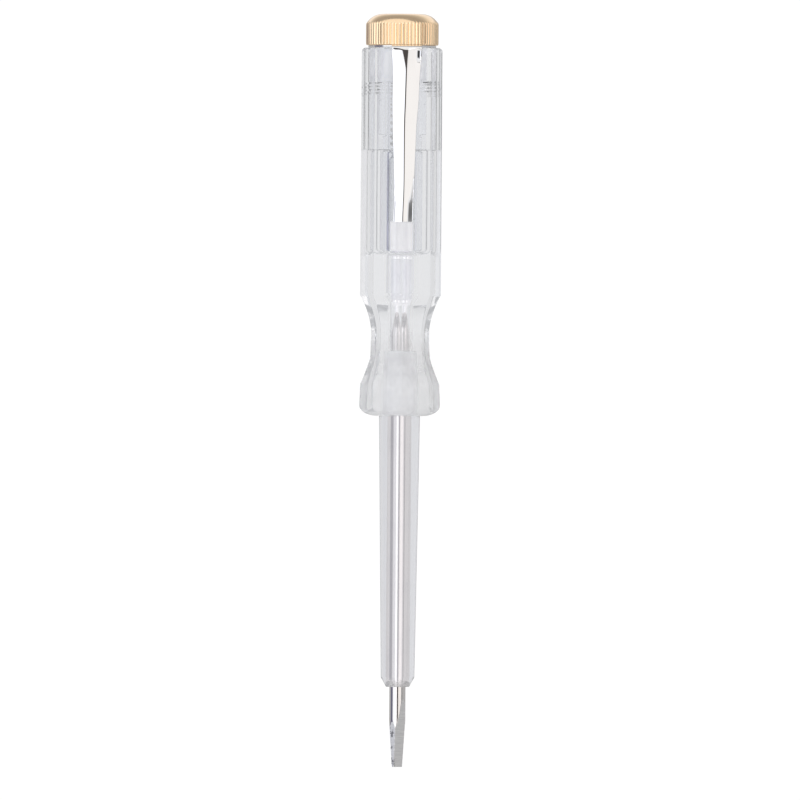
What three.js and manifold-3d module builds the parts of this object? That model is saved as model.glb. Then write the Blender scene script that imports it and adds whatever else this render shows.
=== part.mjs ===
// Voltage tester pen: a clear octagonal handle with a neon lamp, a series resistor and a
// contact spring inside it, a screw-in end plug with a knurled brass cap, a spring clip,
// and a flat screwdriver blade in a clear insulating sleeve.
//
// Millimetres. The pen lies on one facet of its handle. +Y runs along the pen from the
// blade's tip to the cap, +Z points up, and the origin is below the middle of the pen.

import * as THREE from 'three';
import { mergeVertices } from 'three/addons/utils/BufferGeometryUtils.js';
import Module from 'manifold-3d';

// Driving dimensions: handle
const HANDLE_CORNER_RADIUS = 7.55;
const HANDLE_SIDES = 8;
const HANDLE_WALL = 1.27;
const CHAMBER_STEP = 1.0;
const GRIP_LENGTH = 45.95;
const GRIP_TOP_ROUND = 0.9;
const SHOULDER_LENGTH = 7.55;
const NECK_LENGTH = 3.7;
const NECK_CORNER_RADIUS = 5.4;
const NECK_FOOT_CORNER_RADIUS = 5.56;
const FLARE_LENGTH = 5.35;
const COLLAR_TOP_CORNER_RADIUS = 7.37;
const COLLAR_LENGTH = 3.65;
const COLLAR_FOOT_LENGTH = 2.2;
const COLLAR_FOOT_RADIUS = 4.4;
const CAVITY_FILLET = 1.3;
const BORE_CONE_LENGTH = 1.3;
const BORE_CONE_GAP = 1.8;

// Driving dimensions: blade and insulating sleeve
const BLADE_RADIUS = 1.5;
const BLADE_EXPOSED = 14.9;
const BLADE_GROUND_LENGTH = 13.0;
const BLADE_EDGED_LENGTH = 9.0;
const BLADE_WEDGE_LENGTH = 7.3;
const BLADE_WEDGE_THICKNESS = 1.4;
const BLADE_WEDGE_WIDTH = 2.7;
const BLADE_TIP_THICKNESS = 0.5;
const BLADE_TIP_WIDTH = 2.35;
const BLADE_POINT_LENGTH = 4.1;
const BLADE_POINT_RADIUS = 0.5;
const BLADE_TURN_DEGREES = 68;
const SLEEVE_LENGTH = 50.4;
const SLEEVE_TOP_RADIUS = 3.8;
const SLEEVE_NOSE_RADIUS = 3.12;
const SLEEVE_NOSE_LENGTH = 1.8;
const SLEEVE_NOSE_END_RADIUS = 2.15;
const SPIGOT_LENGTH = 11.9;
const SPIGOT_RADIUS = 2.5;
const SPIGOT_CHAMFER = 0.5;

// Driving dimensions: resistor
const RESISTOR_LENGTH = 8.3;
const RESISTOR_RADIUS = 1.53;
const RESISTOR_CAP_LENGTH = 0.7;
const RESISTOR_CAP_WALL = 0.16;
const RESISTOR_NUB_LENGTH = 1.75;
const RESISTOR_NUB_RADIUS = 0.6;
const RESISTOR_NUB_ROUND = 0.2;

// Driving dimensions: neon lamp
const LAMP_LENGTH = 19.0;
const BULB_RADIUS = 2.35;
const BULB_WALL = 0.4;
const BULB_DOME_LENGTH = 1.7;
const STEM_LENGTH = 5.4;
const STEM_ROUND = 0.9;
const ELECTRODE_RADIUS = 0.32;
const ELECTRODE_SPACING = 1.5;
const ELECTRODE_TOP_GAP = 1.35;
const LEAD_DIAMETER = 0.4;
const LEAD_BEND_RADIUS = 0.5;
const LEAD_FOOT_REACH = 1.1;
const LEAD_TURN_DEGREES = -70.5;

// Driving dimensions: lamp carrier, end plug, contact spring and stud
const CARRIER_TOP_ROUND = 1.1;
const PLUG_LENGTH = 19.0;
const PLUG_PILOT_LENGTH = 2.8;
const PLUG_PILOT_STEP = 1.3;
const PLUG_EDGE = 0.5;
const THREAD_START = 6.0;
const THREAD_LENGTH = 5.0;
const SPRING_WIRE = 0.45;
const SPRING_MEAN_RADIUS = 1.85;
const SPRING_TURNS = 10;
const STUD_RADIUS = 2.0;
const STUD_REACH = 6.0;
const STUD_SEAT_DEPTH = 2.8;
const STUD_CHAMFER = 0.4;

// Driving dimensions: cap
const CAP_RADIUS = 6.75;
const CAP_KNURL_LENGTH = 3.9;
const CAP_DOME_LENGTH = 1.94;
const CAP_FACE_RADIUS = 3.5;
const CAP_LIP = 0.25;
const KNURL_RIDGES = 60;
const KNURL_DEPTH = 0.2;

// Driving dimensions: clip
const CLIP_SHEET = 0.4;
const CLIP_LENGTH = 32.4;
const CLIP_NECK_WIDTH = 5.9;
const CLIP_END_WIDTH = 3.7;
const CLIP_RIDGE_RISE = 0.62;
const CLIP_BEND_RADIUS = 0.7;
const CLIP_BOW = 0.75;
const CLIP_SWAY = 0.5;
const CLIP_LIP_RISE = 0.5;
const CLIP_PRESSED_LENGTH = 4.7;
const CLIP_PRESSED_DROP = 0.24;
const CLIP_TWIST_DEGREES = 7;
const CLIP_RING_RADIUS = 6.3;
const CLIP_HINGE_DROP = 0.9;
const CLIP_HINGE_GAP = 0.15;
const CLIP_TURN_DEGREES = 22.5;

// Clearances between pieces that fit together
const SEAT_GAP = 0.03;
const STACK_GAP = 0.06;
const PRESS_CLEARANCE = 0.03;
const SLIP_CLEARANCE = 0.1;
const CARRIER_CLEARANCE = 0.15;
const PLUG_CLEARANCE = 0.2;
const THREAD_CLEARANCE = 0.08;
const LAMP_CLEARANCE = 0.14;
const RESISTOR_CLEARANCE = 0.8;
const SPRING_CLEARANCE = 0.3;
const CLIP_CLEARANCE = 0.3;
const CUT_OVERRUN = 1.0;
const ENVELOPE_MARGIN = 0.06;

// Facet counts
const BODY_SEGMENTS = 44;
const BORE_SEGMENTS = 36;
const SMALL_SEGMENTS = 24;
const ARC_STEPS = 5;
const WAIST_STEPS = 7;
const LEAD_SIDES = 7;
const LEAD_STEPS = 36;
const SPRING_SIDES = 5;
const SPRING_STEPS_PER_TURN = 8;
const CLIP_STATIONS = 16;
const CLIP_PRESSED_STATIONS = 4;
const CLIP_CROSS_STEPS = 8;

// Stations along the pen, measured from the blade's tip
const noseY = BLADE_EXPOSED;
const collarFootY = noseY + SLEEVE_LENGTH;
const collarY = collarFootY + COLLAR_FOOT_LENGTH;
const flareY = collarY + COLLAR_LENGTH;
const neckY = flareY + FLARE_LENGTH;
const shoulderY = neckY + NECK_LENGTH;
const gripY = shoulderY + SHOULDER_LENGTH;
const handleTopY = gripY + GRIP_LENGTH;
const clipRingY = handleTopY + SEAT_GAP;
const capY = clipRingY + CLIP_SHEET + SEAT_GAP;
const capDomeY = capY + CAP_KNURL_LENGTH;
const capTopY = capDomeY + CAP_DOME_LENGTH;

// Stations of the stack inside the handle, from the end plug down to the blade
const plugBottomY = handleTopY - PLUG_LENGTH;
const studBottomY = handleTopY - STUD_REACH;
const lampTopY = plugBottomY - STACK_GAP;
const lampBottomY = lampTopY - LAMP_LENGTH;
const stemBottomY = lampBottomY + LEAD_DIAMETER + STACK_GAP;
const bulbTopY = lampTopY - LEAD_DIAMETER - STACK_GAP;
const bulbDomeY = bulbTopY - BULB_DOME_LENGTH;
const footY = lampBottomY - STACK_GAP - LEAD_DIAMETER / 2;
const resistorTopY = footY - LEAD_DIAMETER / 2 - STACK_GAP;
const resistorBottomY = resistorTopY - RESISTOR_LENGTH;
const bladeTopY = resistorBottomY - RESISTOR_NUB_LENGTH - STACK_GAP;
const cavityFloorY = lampBottomY - STACK_GAP;
const carrierBottomY = cavityFloorY + CARRIER_CLEARANCE;
const carrierTopY = plugBottomY - CARRIER_CLEARANCE;

// Radii that follow from what they hold
const handleApothem = HANDLE_CORNER_RADIUS * Math.cos(Math.PI / HANDLE_SIDES);
const cavityRadius = handleApothem - HANDLE_WALL;
const chamberRadius = cavityRadius - CHAMBER_STEP;
const leadRadialPlace = BULB_RADIUS + STACK_GAP + LEAD_DIAMETER / 2;
const lampBoreRadius = leadRadialPlace + LEAD_DIAMETER / 2 + LAMP_CLEARANCE;
const resistorBoreRadius = RESISTOR_RADIUS + RESISTOR_CLEARANCE;
const bladeHoleRadius = BLADE_RADIUS + SLIP_CLEARANCE;
const plugRadius = cavityRadius - PLUG_CLEARANCE;
const springBoreRadius = SPRING_MEAN_RADIUS + SPRING_WIRE / 2 + SPRING_CLEARANCE;
const clipInnerRadius = HANDLE_CORNER_RADIUS + CLIP_CLEARANCE;
const clipHingeY = handleTopY - CLIP_HINGE_DROP;

// The clip's arm below its hinge, and where on it the pressed end starts, as a share of it
const clipArmLength = CLIP_LENGTH - CLIP_HINGE_DROP;
const clipPressedFrom = 1 - CLIP_PRESSED_LENGTH / clipArmLength;

const wasm = await Module();
wasm.setup();

// A geometry as bare, merged triangles that face out, with no collapsed ones
function cleaned(geometry) {
  const bare = new THREE.BufferGeometry();
  bare.setAttribute('position', geometry.getAttribute('position').clone());
  if (geometry.index) {
    bare.setIndex(geometry.index.clone());
  }
  const merged = mergeVertices(bare);
  const index = merged.index.array;
  const place = merged.getAttribute('position');
  const kept = [];
  const a = new THREE.Vector3();
  const b = new THREE.Vector3();
  const c = new THREE.Vector3();
  let volume = 0;
  for (let i = 0; i < index.length; i += 3) {
    const [p, q, r] = [index[i], index[i + 1], index[i + 2]];
    if (p === q || q === r || r === p) {
      continue;
    }
    kept.push(p, q, r);
    a.fromBufferAttribute(place, p);
    b.fromBufferAttribute(place, q);
    c.fromBufferAttribute(place, r);
    volume += a.dot(b.cross(c));
  }
  if (volume < 0) {
    for (let i = 0; i < kept.length; i += 3) {
      [kept[i], kept[i + 1]] = [kept[i + 1], kept[i]];
    }
  }
  merged.setIndex(kept);
  return merged;
}

function toSolid(geometry) {
  const closed = cleaned(geometry);
  return new wasm.Manifold(new wasm.Mesh({
    numProp: 3,
    vertProperties: new Float32Array(closed.getAttribute('position').array),
    triVerts: new Uint32Array(closed.index.array),
  }));
}

function toGeometry(solid) {
  const mesh = solid.getMesh();
  const geometry = new THREE.BufferGeometry();
  geometry.setAttribute('position', new THREE.Float32BufferAttribute(mesh.vertProperties, 3));
  geometry.setIndex(Array.from(mesh.triVerts));
  return geometry;
}

// A body of revolution about the pen's axis from [radius, y] pairs
function revolved(outline, segments) {
  const points = outline.map(([radius, y]) => new THREE.Vector2(radius, y));
  return new THREE.LatheGeometry(points, segments);
}

// A quarter of an ellipse between two [radius, y] points, bulging away from the inner corner
function quarterRound(from, to, inner) {
  const points = [];
  for (let step = 0; step <= ARC_STEPS; step += 1) {
    const angle = (Math.PI / 2) * (step / ARC_STEPS);
    const alongFrom = Math.cos(angle);
    const alongTo = Math.sin(angle);
    points.push([
      inner[0] + (from[0] - inner[0]) * alongFrom + (to[0] - inner[0]) * alongTo,
      inner[1] + (from[1] - inner[1]) * alongFrom + (to[1] - inner[1]) * alongTo,
    ]);
  }
  return points;
}

// A closed skin over rings of points that all have the same count
function lofted(rings) {
  const count = rings[0].length;
  const positions = rings.flat().flatMap((point) => [point.x, point.y, point.z]);
  const faces = [];
  for (let ring = 0; ring + 1 < rings.length; ring += 1) {
    for (let side = 0; side < count; side += 1) {
      const next = (side + 1) % count;
      const here = ring * count;
      const above = here + count;
      faces.push(here + side, here + next, above + next);
      faces.push(here + side, above + next, above + side);
    }
  }
  const last = (rings.length - 1) * count;
  for (let side = 1; side + 1 < count; side += 1) {
    faces.push(0, side + 1, side);
    faces.push(last, last + side, last + side + 1);
  }
  const geometry = new THREE.BufferGeometry();
  geometry.setAttribute('position', new THREE.Float32BufferAttribute(positions, 3));
  geometry.setIndex(faces);
  return geometry;
}

// An outline in the Z-Y plane, pushed across the pen by a width centred on the axis
function pushedAcross(shape, width) {
  const geometry = new THREE.ExtrudeGeometry(shape, {
    depth: width,
    bevelEnabled: false,
    curveSegments: ARC_STEPS,
  });
  geometry.translate(0, 0, -width / 2);
  geometry.rotateY(-Math.PI / 2);
  return geometry;
}

function circleShape(radius, sides) {
  const shape = new THREE.Shape();
  for (let side = 0; side < sides; side += 1) {
    const angle = (2 * Math.PI * side) / sides;
    const x = radius * Math.cos(angle);
    const y = radius * Math.sin(angle);
    if (side === 0) {
      shape.moveTo(x, y);
    } else {
      shape.lineTo(x, y);
    }
  }
  shape.closePath();
  return shape;
}

function wireAlong(curve, diameter, steps, sides) {
  return new THREE.ExtrudeGeometry(circleShape(diameter / 2, sides), {
    steps,
    extrudePath: curve,
    bevelEnabled: false,
  });
}

// The handle's outside: one octagon per station, with corners towards the clip
function octagonRing(cornerRadius, y) {
  const ring = [];
  for (let side = 0; side < HANDLE_SIDES; side += 1) {
    const angle = (2 * Math.PI * (side + 1 / 2)) / HANDLE_SIDES;
    ring.push(new THREE.Vector3(cornerRadius * Math.sin(angle), y, cornerRadius * Math.cos(angle)));
  }
  return ring;
}

// The pulls of a waist curve, as shares of its change in radius and of its length
const FLARE_PULL_SHARES = [[0.453, 0.383], [0.945, 0.757]];
const SHOULDER_PULL_SHARES = [[0, 0.32], [0.3, 0.636]];

function waistCurve(fromRadius, fromY, toRadius, toY, pullShares) {
  const pulls = pullShares.map(([radiusShare, lengthShare]) => new THREE.Vector2(
    fromRadius + (toRadius - fromRadius) * radiusShare,
    fromY + (toY - fromY) * lengthShare,
  ));
  return new THREE.CubicBezierCurve(
    new THREE.Vector2(fromRadius, fromY),
    ...pulls,
    new THREE.Vector2(toRadius, toY),
  ).getPoints(WAIST_STEPS);
}

function waistStations() {
  return [
    ...waistCurve(
      COLLAR_TOP_CORNER_RADIUS, flareY, NECK_FOOT_CORNER_RADIUS, neckY, FLARE_PULL_SHARES,
    ),
    ...waistCurve(
      NECK_CORNER_RADIUS, shoulderY, HANDLE_CORNER_RADIUS, gripY, SHOULDER_PULL_SHARES,
    ),
  ];
}

function handleOutside() {
  const rings = [
    octagonRing(HANDLE_CORNER_RADIUS, collarFootY),
    octagonRing(HANDLE_CORNER_RADIUS, collarY),
  ];
  for (const station of waistStations()) {
    rings.push(octagonRing(station.x, station.y));
  }
  rings.push(octagonRing(HANDLE_CORNER_RADIUS, handleTopY));
  const reach = HANDLE_CORNER_RADIUS + ENVELOPE_MARGIN;
  const foot = quarterRound(
    [COLLAR_FOOT_RADIUS, collarFootY],
    [reach, collarY],
    [COLLAR_FOOT_RADIUS, collarY],
  );
  const crown = quarterRound(
    [reach, handleTopY - GRIP_TOP_ROUND],
    [reach - GRIP_TOP_ROUND, handleTopY],
    [reach - GRIP_TOP_ROUND, handleTopY - GRIP_TOP_ROUND],
  );
  const envelope = revolved([[0, collarFootY], ...foot, ...crown, [0, handleTopY]], BODY_SEGMENTS);
  return toSolid(lofted(rings)).intersect(toSolid(envelope));
}

// The stepped hole through the handle: sleeve, blade, resistor, lamp chamber, and the end plug's
// cavity, which opens from the chamber over a tapered seat
function handleHole() {
  const socketRadius = SPIGOT_RADIUS + PRESS_CLEARANCE;
  const socketTopY = collarFootY + SPIGOT_LENGTH + SEAT_GAP;
  const coneTopY = bladeTopY + BORE_CONE_GAP + BORE_CONE_LENGTH;
  const fillet = quarterRound(
    [chamberRadius - CAVITY_FILLET, cavityFloorY],
    [chamberRadius, cavityFloorY + CAVITY_FILLET],
    [chamberRadius - CAVITY_FILLET, cavityFloorY + CAVITY_FILLET],
  );
  return toSolid(revolved([
    [0, collarFootY - CUT_OVERRUN],
    [socketRadius, collarFootY - CUT_OVERRUN],
    [socketRadius, socketTopY],
    [bladeHoleRadius, socketTopY],
    [bladeHoleRadius, coneTopY - BORE_CONE_LENGTH],
    [resistorBoreRadius, coneTopY],
    [resistorBoreRadius, cavityFloorY],
    ...fillet,
    [chamberRadius, plugBottomY],
    [cavityRadius, plugBottomY + PLUG_PILOT_LENGTH],
    [cavityRadius, handleTopY + CUT_OVERRUN],
    [0, handleTopY + CUT_OVERRUN],
  ], BODY_SEGMENTS));
}

function handle() {
  return toGeometry(handleOutside().subtract(handleHole()));
}

// The insulating sleeve: a long taper with a chamfered nose, and a spigot that the handle holds
function sleeve() {
  const holeRadius = BLADE_RADIUS + PRESS_CLEARANCE;
  const spigotTopY = collarFootY + SPIGOT_LENGTH;
  return revolved([
    [holeRadius, noseY],
    [SLEEVE_NOSE_END_RADIUS, noseY],
    [SLEEVE_NOSE_RADIUS, noseY + SLEEVE_NOSE_LENGTH],
    [SLEEVE_TOP_RADIUS, collarFootY - SEAT_GAP],
    [SPIGOT_RADIUS, collarFootY - SEAT_GAP],
    [SPIGOT_RADIUS, spigotTopY - SPIGOT_CHAMFER],
    [SPIGOT_RADIUS - SPIGOT_CHAMFER, spigotTopY],
    [holeRadius, spigotTopY],
    [holeRadius, noseY],
  ], BORE_SEGMENTS);
}

// Points where the ground faces run out on the rod, as shares of the run-out's length and height
const BLADE_RUN_OUT_SHARES = [[0.175, 0.35], [0.44, 0.65], [0.877, 0.91], [1, 1]];
const BLADE_EDGE_RUN_OUT_SHARES = [[1, 1]];

// The blade: a round rod, pressed and ground to a wedge at its tip, with narrowed edges
function blade() {
  const rod = revolved([
    [0, 0],
    [BLADE_RADIUS, 0],
    [BLADE_RADIUS, bladeTopY - BLADE_POINT_LENGTH],
    [BLADE_POINT_RADIUS, bladeTopY],
    [0, bladeTopY],
  ], SMALL_SEGMENTS);
  const faces = groundPrism(
    BLADE_TIP_THICKNESS, BLADE_WEDGE_THICKNESS, BLADE_GROUND_LENGTH, BLADE_RUN_OUT_SHARES,
  );
  const edges = groundPrism(
    BLADE_TIP_WIDTH, BLADE_WEDGE_WIDTH, BLADE_EDGED_LENGTH, BLADE_EDGE_RUN_OUT_SHARES,
  );
  edges.rotateY(Math.PI / 2);
  return toGeometry(toSolid(rod).intersect(toSolid(faces)).intersect(toSolid(edges)));
}

// A prism that thickens from the tip along the wedge, then runs out to the rod's full width
function groundPrism(tipThickness, wedgeThickness, groundLength, runOutShares) {
  const tip = tipThickness / 2;
  const wedge = wedgeThickness / 2;
  const full = BLADE_RADIUS + ENVELOPE_MARGIN;
  const below = tip - (wedge - tip) * (CUT_OVERRUN / BLADE_WEDGE_LENGTH);
  const side = [[below, -CUT_OVERRUN], [wedge, BLADE_WEDGE_LENGTH]];
  for (const [lengthShare, heightShare] of runOutShares) {
    side.push([
      wedge + (full - wedge) * heightShare,
      BLADE_WEDGE_LENGTH + (groundLength - BLADE_WEDGE_LENGTH) * lengthShare,
    ]);
  }
  side.push([full, bladeTopY + CUT_OVERRUN]);
  const right = side.map(([half, y]) => new THREE.Vector2(half, y));
  const left = side.map(([half, y]) => new THREE.Vector2(-half, y)).reverse();
  return pushedAcross(new THREE.Shape([...right, ...left]), 2 * full);
}

// The resistor: a ceramic rod between two pressed metal caps, the lower with a contact nub
function resistorBody() {
  const inset = RESISTOR_CAP_WALL + SEAT_GAP;
  const neckRadius = RESISTOR_RADIUS - inset;
  const capEdge = RESISTOR_CAP_LENGTH + SEAT_GAP;
  return revolved([
    [0, resistorBottomY + inset],
    [neckRadius, resistorBottomY + inset],
    [neckRadius, resistorBottomY + capEdge],
    [RESISTOR_RADIUS, resistorBottomY + capEdge],
    [RESISTOR_RADIUS, resistorTopY - capEdge],
    [neckRadius, resistorTopY - capEdge],
    [neckRadius, resistorTopY - inset],
    [0, resistorTopY - inset],
  ], BORE_SEGMENTS);
}

function resistorCapOutline(endY, inward, nubLength) {
  const innerRadius = RESISTOR_RADIUS - RESISTOR_CAP_WALL;
  const outer = [
    [RESISTOR_RADIUS, endY + inward * RESISTOR_CAP_WALL],
    [RESISTOR_RADIUS, endY + inward * RESISTOR_CAP_LENGTH],
    [innerRadius, endY + inward * RESISTOR_CAP_LENGTH],
    [innerRadius, endY + inward * RESISTOR_CAP_WALL],
    [0, endY + inward * RESISTOR_CAP_WALL],
  ];
  if (nubLength === 0) {
    return [[0, endY], [innerRadius, endY], ...outer];
  }
  return [
    [0, endY - inward * nubLength],
    [RESISTOR_NUB_RADIUS - RESISTOR_NUB_ROUND, endY - inward * nubLength],
    [RESISTOR_NUB_RADIUS, endY - inward * (nubLength - RESISTOR_NUB_ROUND)],
    [RESISTOR_NUB_RADIUS, endY],
    [innerRadius, endY],
    ...outer,
  ];
}

function resistorCapLower() {
  return revolved(resistorCapOutline(resistorBottomY, 1, RESISTOR_NUB_LENGTH), BORE_SEGMENTS);
}

function resistorCapUpper() {
  return revolved(resistorCapOutline(resistorTopY, -1, 0), BORE_SEGMENTS);
}

// The lamp's glass: a tube with a domed top, open below, where the stem closes it
function lampBulb() {
  const innerRadius = BULB_RADIUS - BULB_WALL;
  const lipRadius = BULB_RADIUS - BULB_WALL / 2;
  const outerDome = quarterRound([BULB_RADIUS, bulbDomeY], [0, bulbTopY], [0, bulbDomeY]);
  const innerDome = quarterRound(
    [0, bulbTopY - BULB_WALL],
    [innerRadius, bulbDomeY],
    [0, bulbDomeY],
  );
  return revolved([
    [innerRadius, stemBottomY],
    [lipRadius, stemBottomY],
    [BULB_RADIUS, stemBottomY + BULB_WALL],
    ...outerDome,
    ...innerDome,
    [innerRadius, stemBottomY],
  ], BORE_SEGMENTS);
}

function lampStem() {
  const stemRadius = BULB_RADIUS - BULB_WALL - SEAT_GAP;
  const stemTopY = stemBottomY + STEM_LENGTH;
  const foot = quarterRound(
    [stemRadius - STEM_ROUND, stemBottomY],
    [stemRadius, stemBottomY + STEM_ROUND],
    [stemRadius - STEM_ROUND, stemBottomY + STEM_ROUND],
  );
  return revolved([
    [0, stemBottomY],
    ...foot,
    [stemRadius, stemTopY - STEM_ROUND / 2],
    [stemRadius - STEM_ROUND / 2, stemTopY],
    [0, stemTopY],
  ], SMALL_SEGMENTS);
}

function lampElectrode(side) {
  const bottomY = stemBottomY + STEM_LENGTH + SEAT_GAP;
  const topY = bulbDomeY - ELECTRODE_TOP_GAP;
  const geometry = revolved([
    [0, bottomY],
    [ELECTRODE_RADIUS, bottomY],
    [ELECTRODE_RADIUS, topY - ELECTRODE_RADIUS / 2],
    [ELECTRODE_RADIUS / 2, topY],
    [0, topY],
  ], LEAD_SIDES);
  geometry.translate(side * ELECTRODE_SPACING / 2, 0, 0);
  return geometry;
}

// A path of straight stretches joined by round bends, in the Z-Y plane
function bentPath(corners, bendRadius) {
  const path = new THREE.CurvePath();
  let start = corners[0];
  for (let i = 1; i + 1 < corners.length; i += 1) {
    const corner = corners[i];
    const back = corners[i - 1].clone().sub(corner).setLength(bendRadius).add(corner);
    const ahead = corners[i + 1].clone().sub(corner).setLength(bendRadius).add(corner);
    path.add(new THREE.LineCurve3(start, back));
    path.add(new THREE.QuadraticBezierCurve3(back, corner, ahead));
    start = ahead;
  }
  path.add(new THREE.LineCurve3(start, corners[corners.length - 1]));
  return path;
}

// The upper lead leaves the stem's side, climbs the glass and folds over its top
function lampLeadUpper() {
  const wireRadius = LEAD_DIAMETER / 2;
  const lowY = lampBottomY + wireRadius;
  const highY = lampTopY - wireRadius;
  const path = bentPath([
    new THREE.Vector3(0, lowY, LEAD_DIAMETER),
    new THREE.Vector3(0, lowY, leadRadialPlace),
    new THREE.Vector3(0, highY, leadRadialPlace),
    new THREE.Vector3(0, highY, -LEAD_FOOT_REACH),
  ], LEAD_BEND_RADIUS);
  return wireAlong(path, LEAD_DIAMETER, LEAD_STEPS, LEAD_SIDES);
}

// The lower lead is bent flat under the stem, where it rests on the resistor
function lampLeadLower() {
  const path = bentPath([
    new THREE.Vector3(0, stemBottomY - SEAT_GAP, -LEAD_FOOT_REACH),
    new THREE.Vector3(0, footY, -LEAD_FOOT_REACH),
    new THREE.Vector3(0, footY, LEAD_FOOT_REACH),
  ], LEAD_DIAMETER);
  return wireAlong(path, LEAD_DIAMETER, Math.round(LEAD_STEPS / 4), LEAD_SIDES);
}

// The clear carrier fills the lamp chamber and holds the lamp on the axis
function lampCarrier() {
  const radius = chamberRadius - CARRIER_CLEARANCE;
  const lowerEdge = quarterRound(
    [radius - CAVITY_FILLET, carrierBottomY],
    [radius, carrierBottomY + CAVITY_FILLET],
    [radius - CAVITY_FILLET, carrierBottomY + CAVITY_FILLET],
  );
  const upperEdge = quarterRound(
    [radius, carrierTopY - CARRIER_TOP_ROUND],
    [radius - CARRIER_TOP_ROUND, carrierTopY],
    [radius - CARRIER_TOP_ROUND, carrierTopY - CARRIER_TOP_ROUND],
  );
  return revolved([
    [lampBoreRadius, carrierBottomY],
    ...lowerEdge,
    ...upperEdge,
    [lampBoreRadius, carrierTopY],
    [lampBoreRadius, carrierBottomY],
  ], BODY_SEGMENTS);
}

// The clear end plug: a stepped barrel with a threaded band, a spring bore and a stud hole
function endPlug() {
  const bandTopY = handleTopY - THREAD_START;
  const bandBottomY = bandTopY - THREAD_LENGTH;
  const bandRadius = cavityRadius - THREAD_CLEARANCE;
  const bandChamfer = bandRadius - plugRadius;
  const pilotRadius = plugRadius - PLUG_PILOT_STEP;
  const pilotTopY = plugBottomY + PLUG_PILOT_LENGTH;
  const studHoleRadius = STUD_RADIUS + PRESS_CLEARANCE;
  const outline = [
    [springBoreRadius, plugBottomY],
    [pilotRadius - PLUG_EDGE, plugBottomY],
    [pilotRadius, plugBottomY + PLUG_EDGE],
    [pilotRadius, pilotTopY],
    [plugRadius, pilotTopY],
    [plugRadius, bandBottomY],
    [bandRadius, bandBottomY + bandChamfer],
    [bandRadius, bandTopY - bandChamfer],
    [plugRadius, bandTopY],
    [plugRadius, handleTopY - PLUG_EDGE / 2],
    [plugRadius - PLUG_EDGE / 2, handleTopY],
    [studHoleRadius, handleTopY],
    [studHoleRadius, studBottomY],
    [springBoreRadius, studBottomY],
    [springBoreRadius, plugBottomY],
  ];
  return revolved(outline, BODY_SEGMENTS);
}

// The contact spring: an open helix from the lamp's folded lead up to the stud
class Helix extends THREE.Curve {
  constructor(radius, bottomY, rise, turns) {
    super();
    this.radius = radius;
    this.bottomY = bottomY;
    this.rise = rise;
    this.turns = turns;
  }

  getPoint(t, target = new THREE.Vector3()) {
    const angle = 2 * Math.PI * this.turns * t;
    return target.set(
      this.radius * Math.sin(angle),
      this.bottomY + this.rise * t,
      this.radius * Math.cos(angle),
    );
  }
}

function springCurve() {
  const bottomY = lampTopY + SEAT_GAP + SPRING_WIRE / 2;
  const topY = studBottomY - SEAT_GAP - SPRING_WIRE / 2;
  return new Helix(SPRING_MEAN_RADIUS, bottomY, topY - bottomY, SPRING_TURNS);
}

// The least distance between the surfaces of two neighbouring curls, on points of the wire
function leastSpringGap(curve) {
  const steps = SPRING_TURNS * SPRING_STEPS_PER_TURN;
  const points = curve.getSpacedPoints(steps);
  let least = Infinity;
  for (let i = 0; i < points.length; i += 1) {
    for (let j = i + SPRING_STEPS_PER_TURN / 2; j < points.length; j += 1) {
      least = Math.min(least, points[i].distanceTo(points[j]) - SPRING_WIRE);
    }
  }
  return least;
}

// Rings of the wire's section, each square to the helix and held upright by the pen's axis
function contactSpring() {
  const curve = springCurve();
  const steps = SPRING_TURNS * SPRING_STEPS_PER_TURN;
  const axis = new THREE.Vector3(0, 1, 0);
  const rings = [];
  for (let step = 0; step <= steps; step += 1) {
    const centre = curve.getPoint(step / steps);
    const along = curve.getTangent(step / steps);
    const outward = new THREE.Vector3().crossVectors(along, axis).normalize();
    const upward = new THREE.Vector3().crossVectors(outward, along);
    const ring = [];
    for (let side = 0; side < SPRING_SIDES; side += 1) {
      const angle = (2 * Math.PI * side) / SPRING_SIDES;
      ring.push(centre.clone()
        .addScaledVector(outward, SPRING_WIRE / 2 * Math.cos(angle))
        .addScaledVector(upward, SPRING_WIRE / 2 * Math.sin(angle)));
    }
    rings.push(ring);
  }
  console.log(`contact spring: least gap to itself ${leastSpringGap(curve).toFixed(2)} mm`);
  return lofted(rings);
}

function capStud() {
  const topY = capY + STUD_SEAT_DEPTH;
  return revolved([
    [0, studBottomY],
    [STUD_RADIUS - STUD_CHAMFER, studBottomY],
    [STUD_RADIUS, studBottomY + STUD_CHAMFER],
    [STUD_RADIUS, topY],
    [0, topY],
  ], BORE_SEGMENTS);
}

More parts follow.
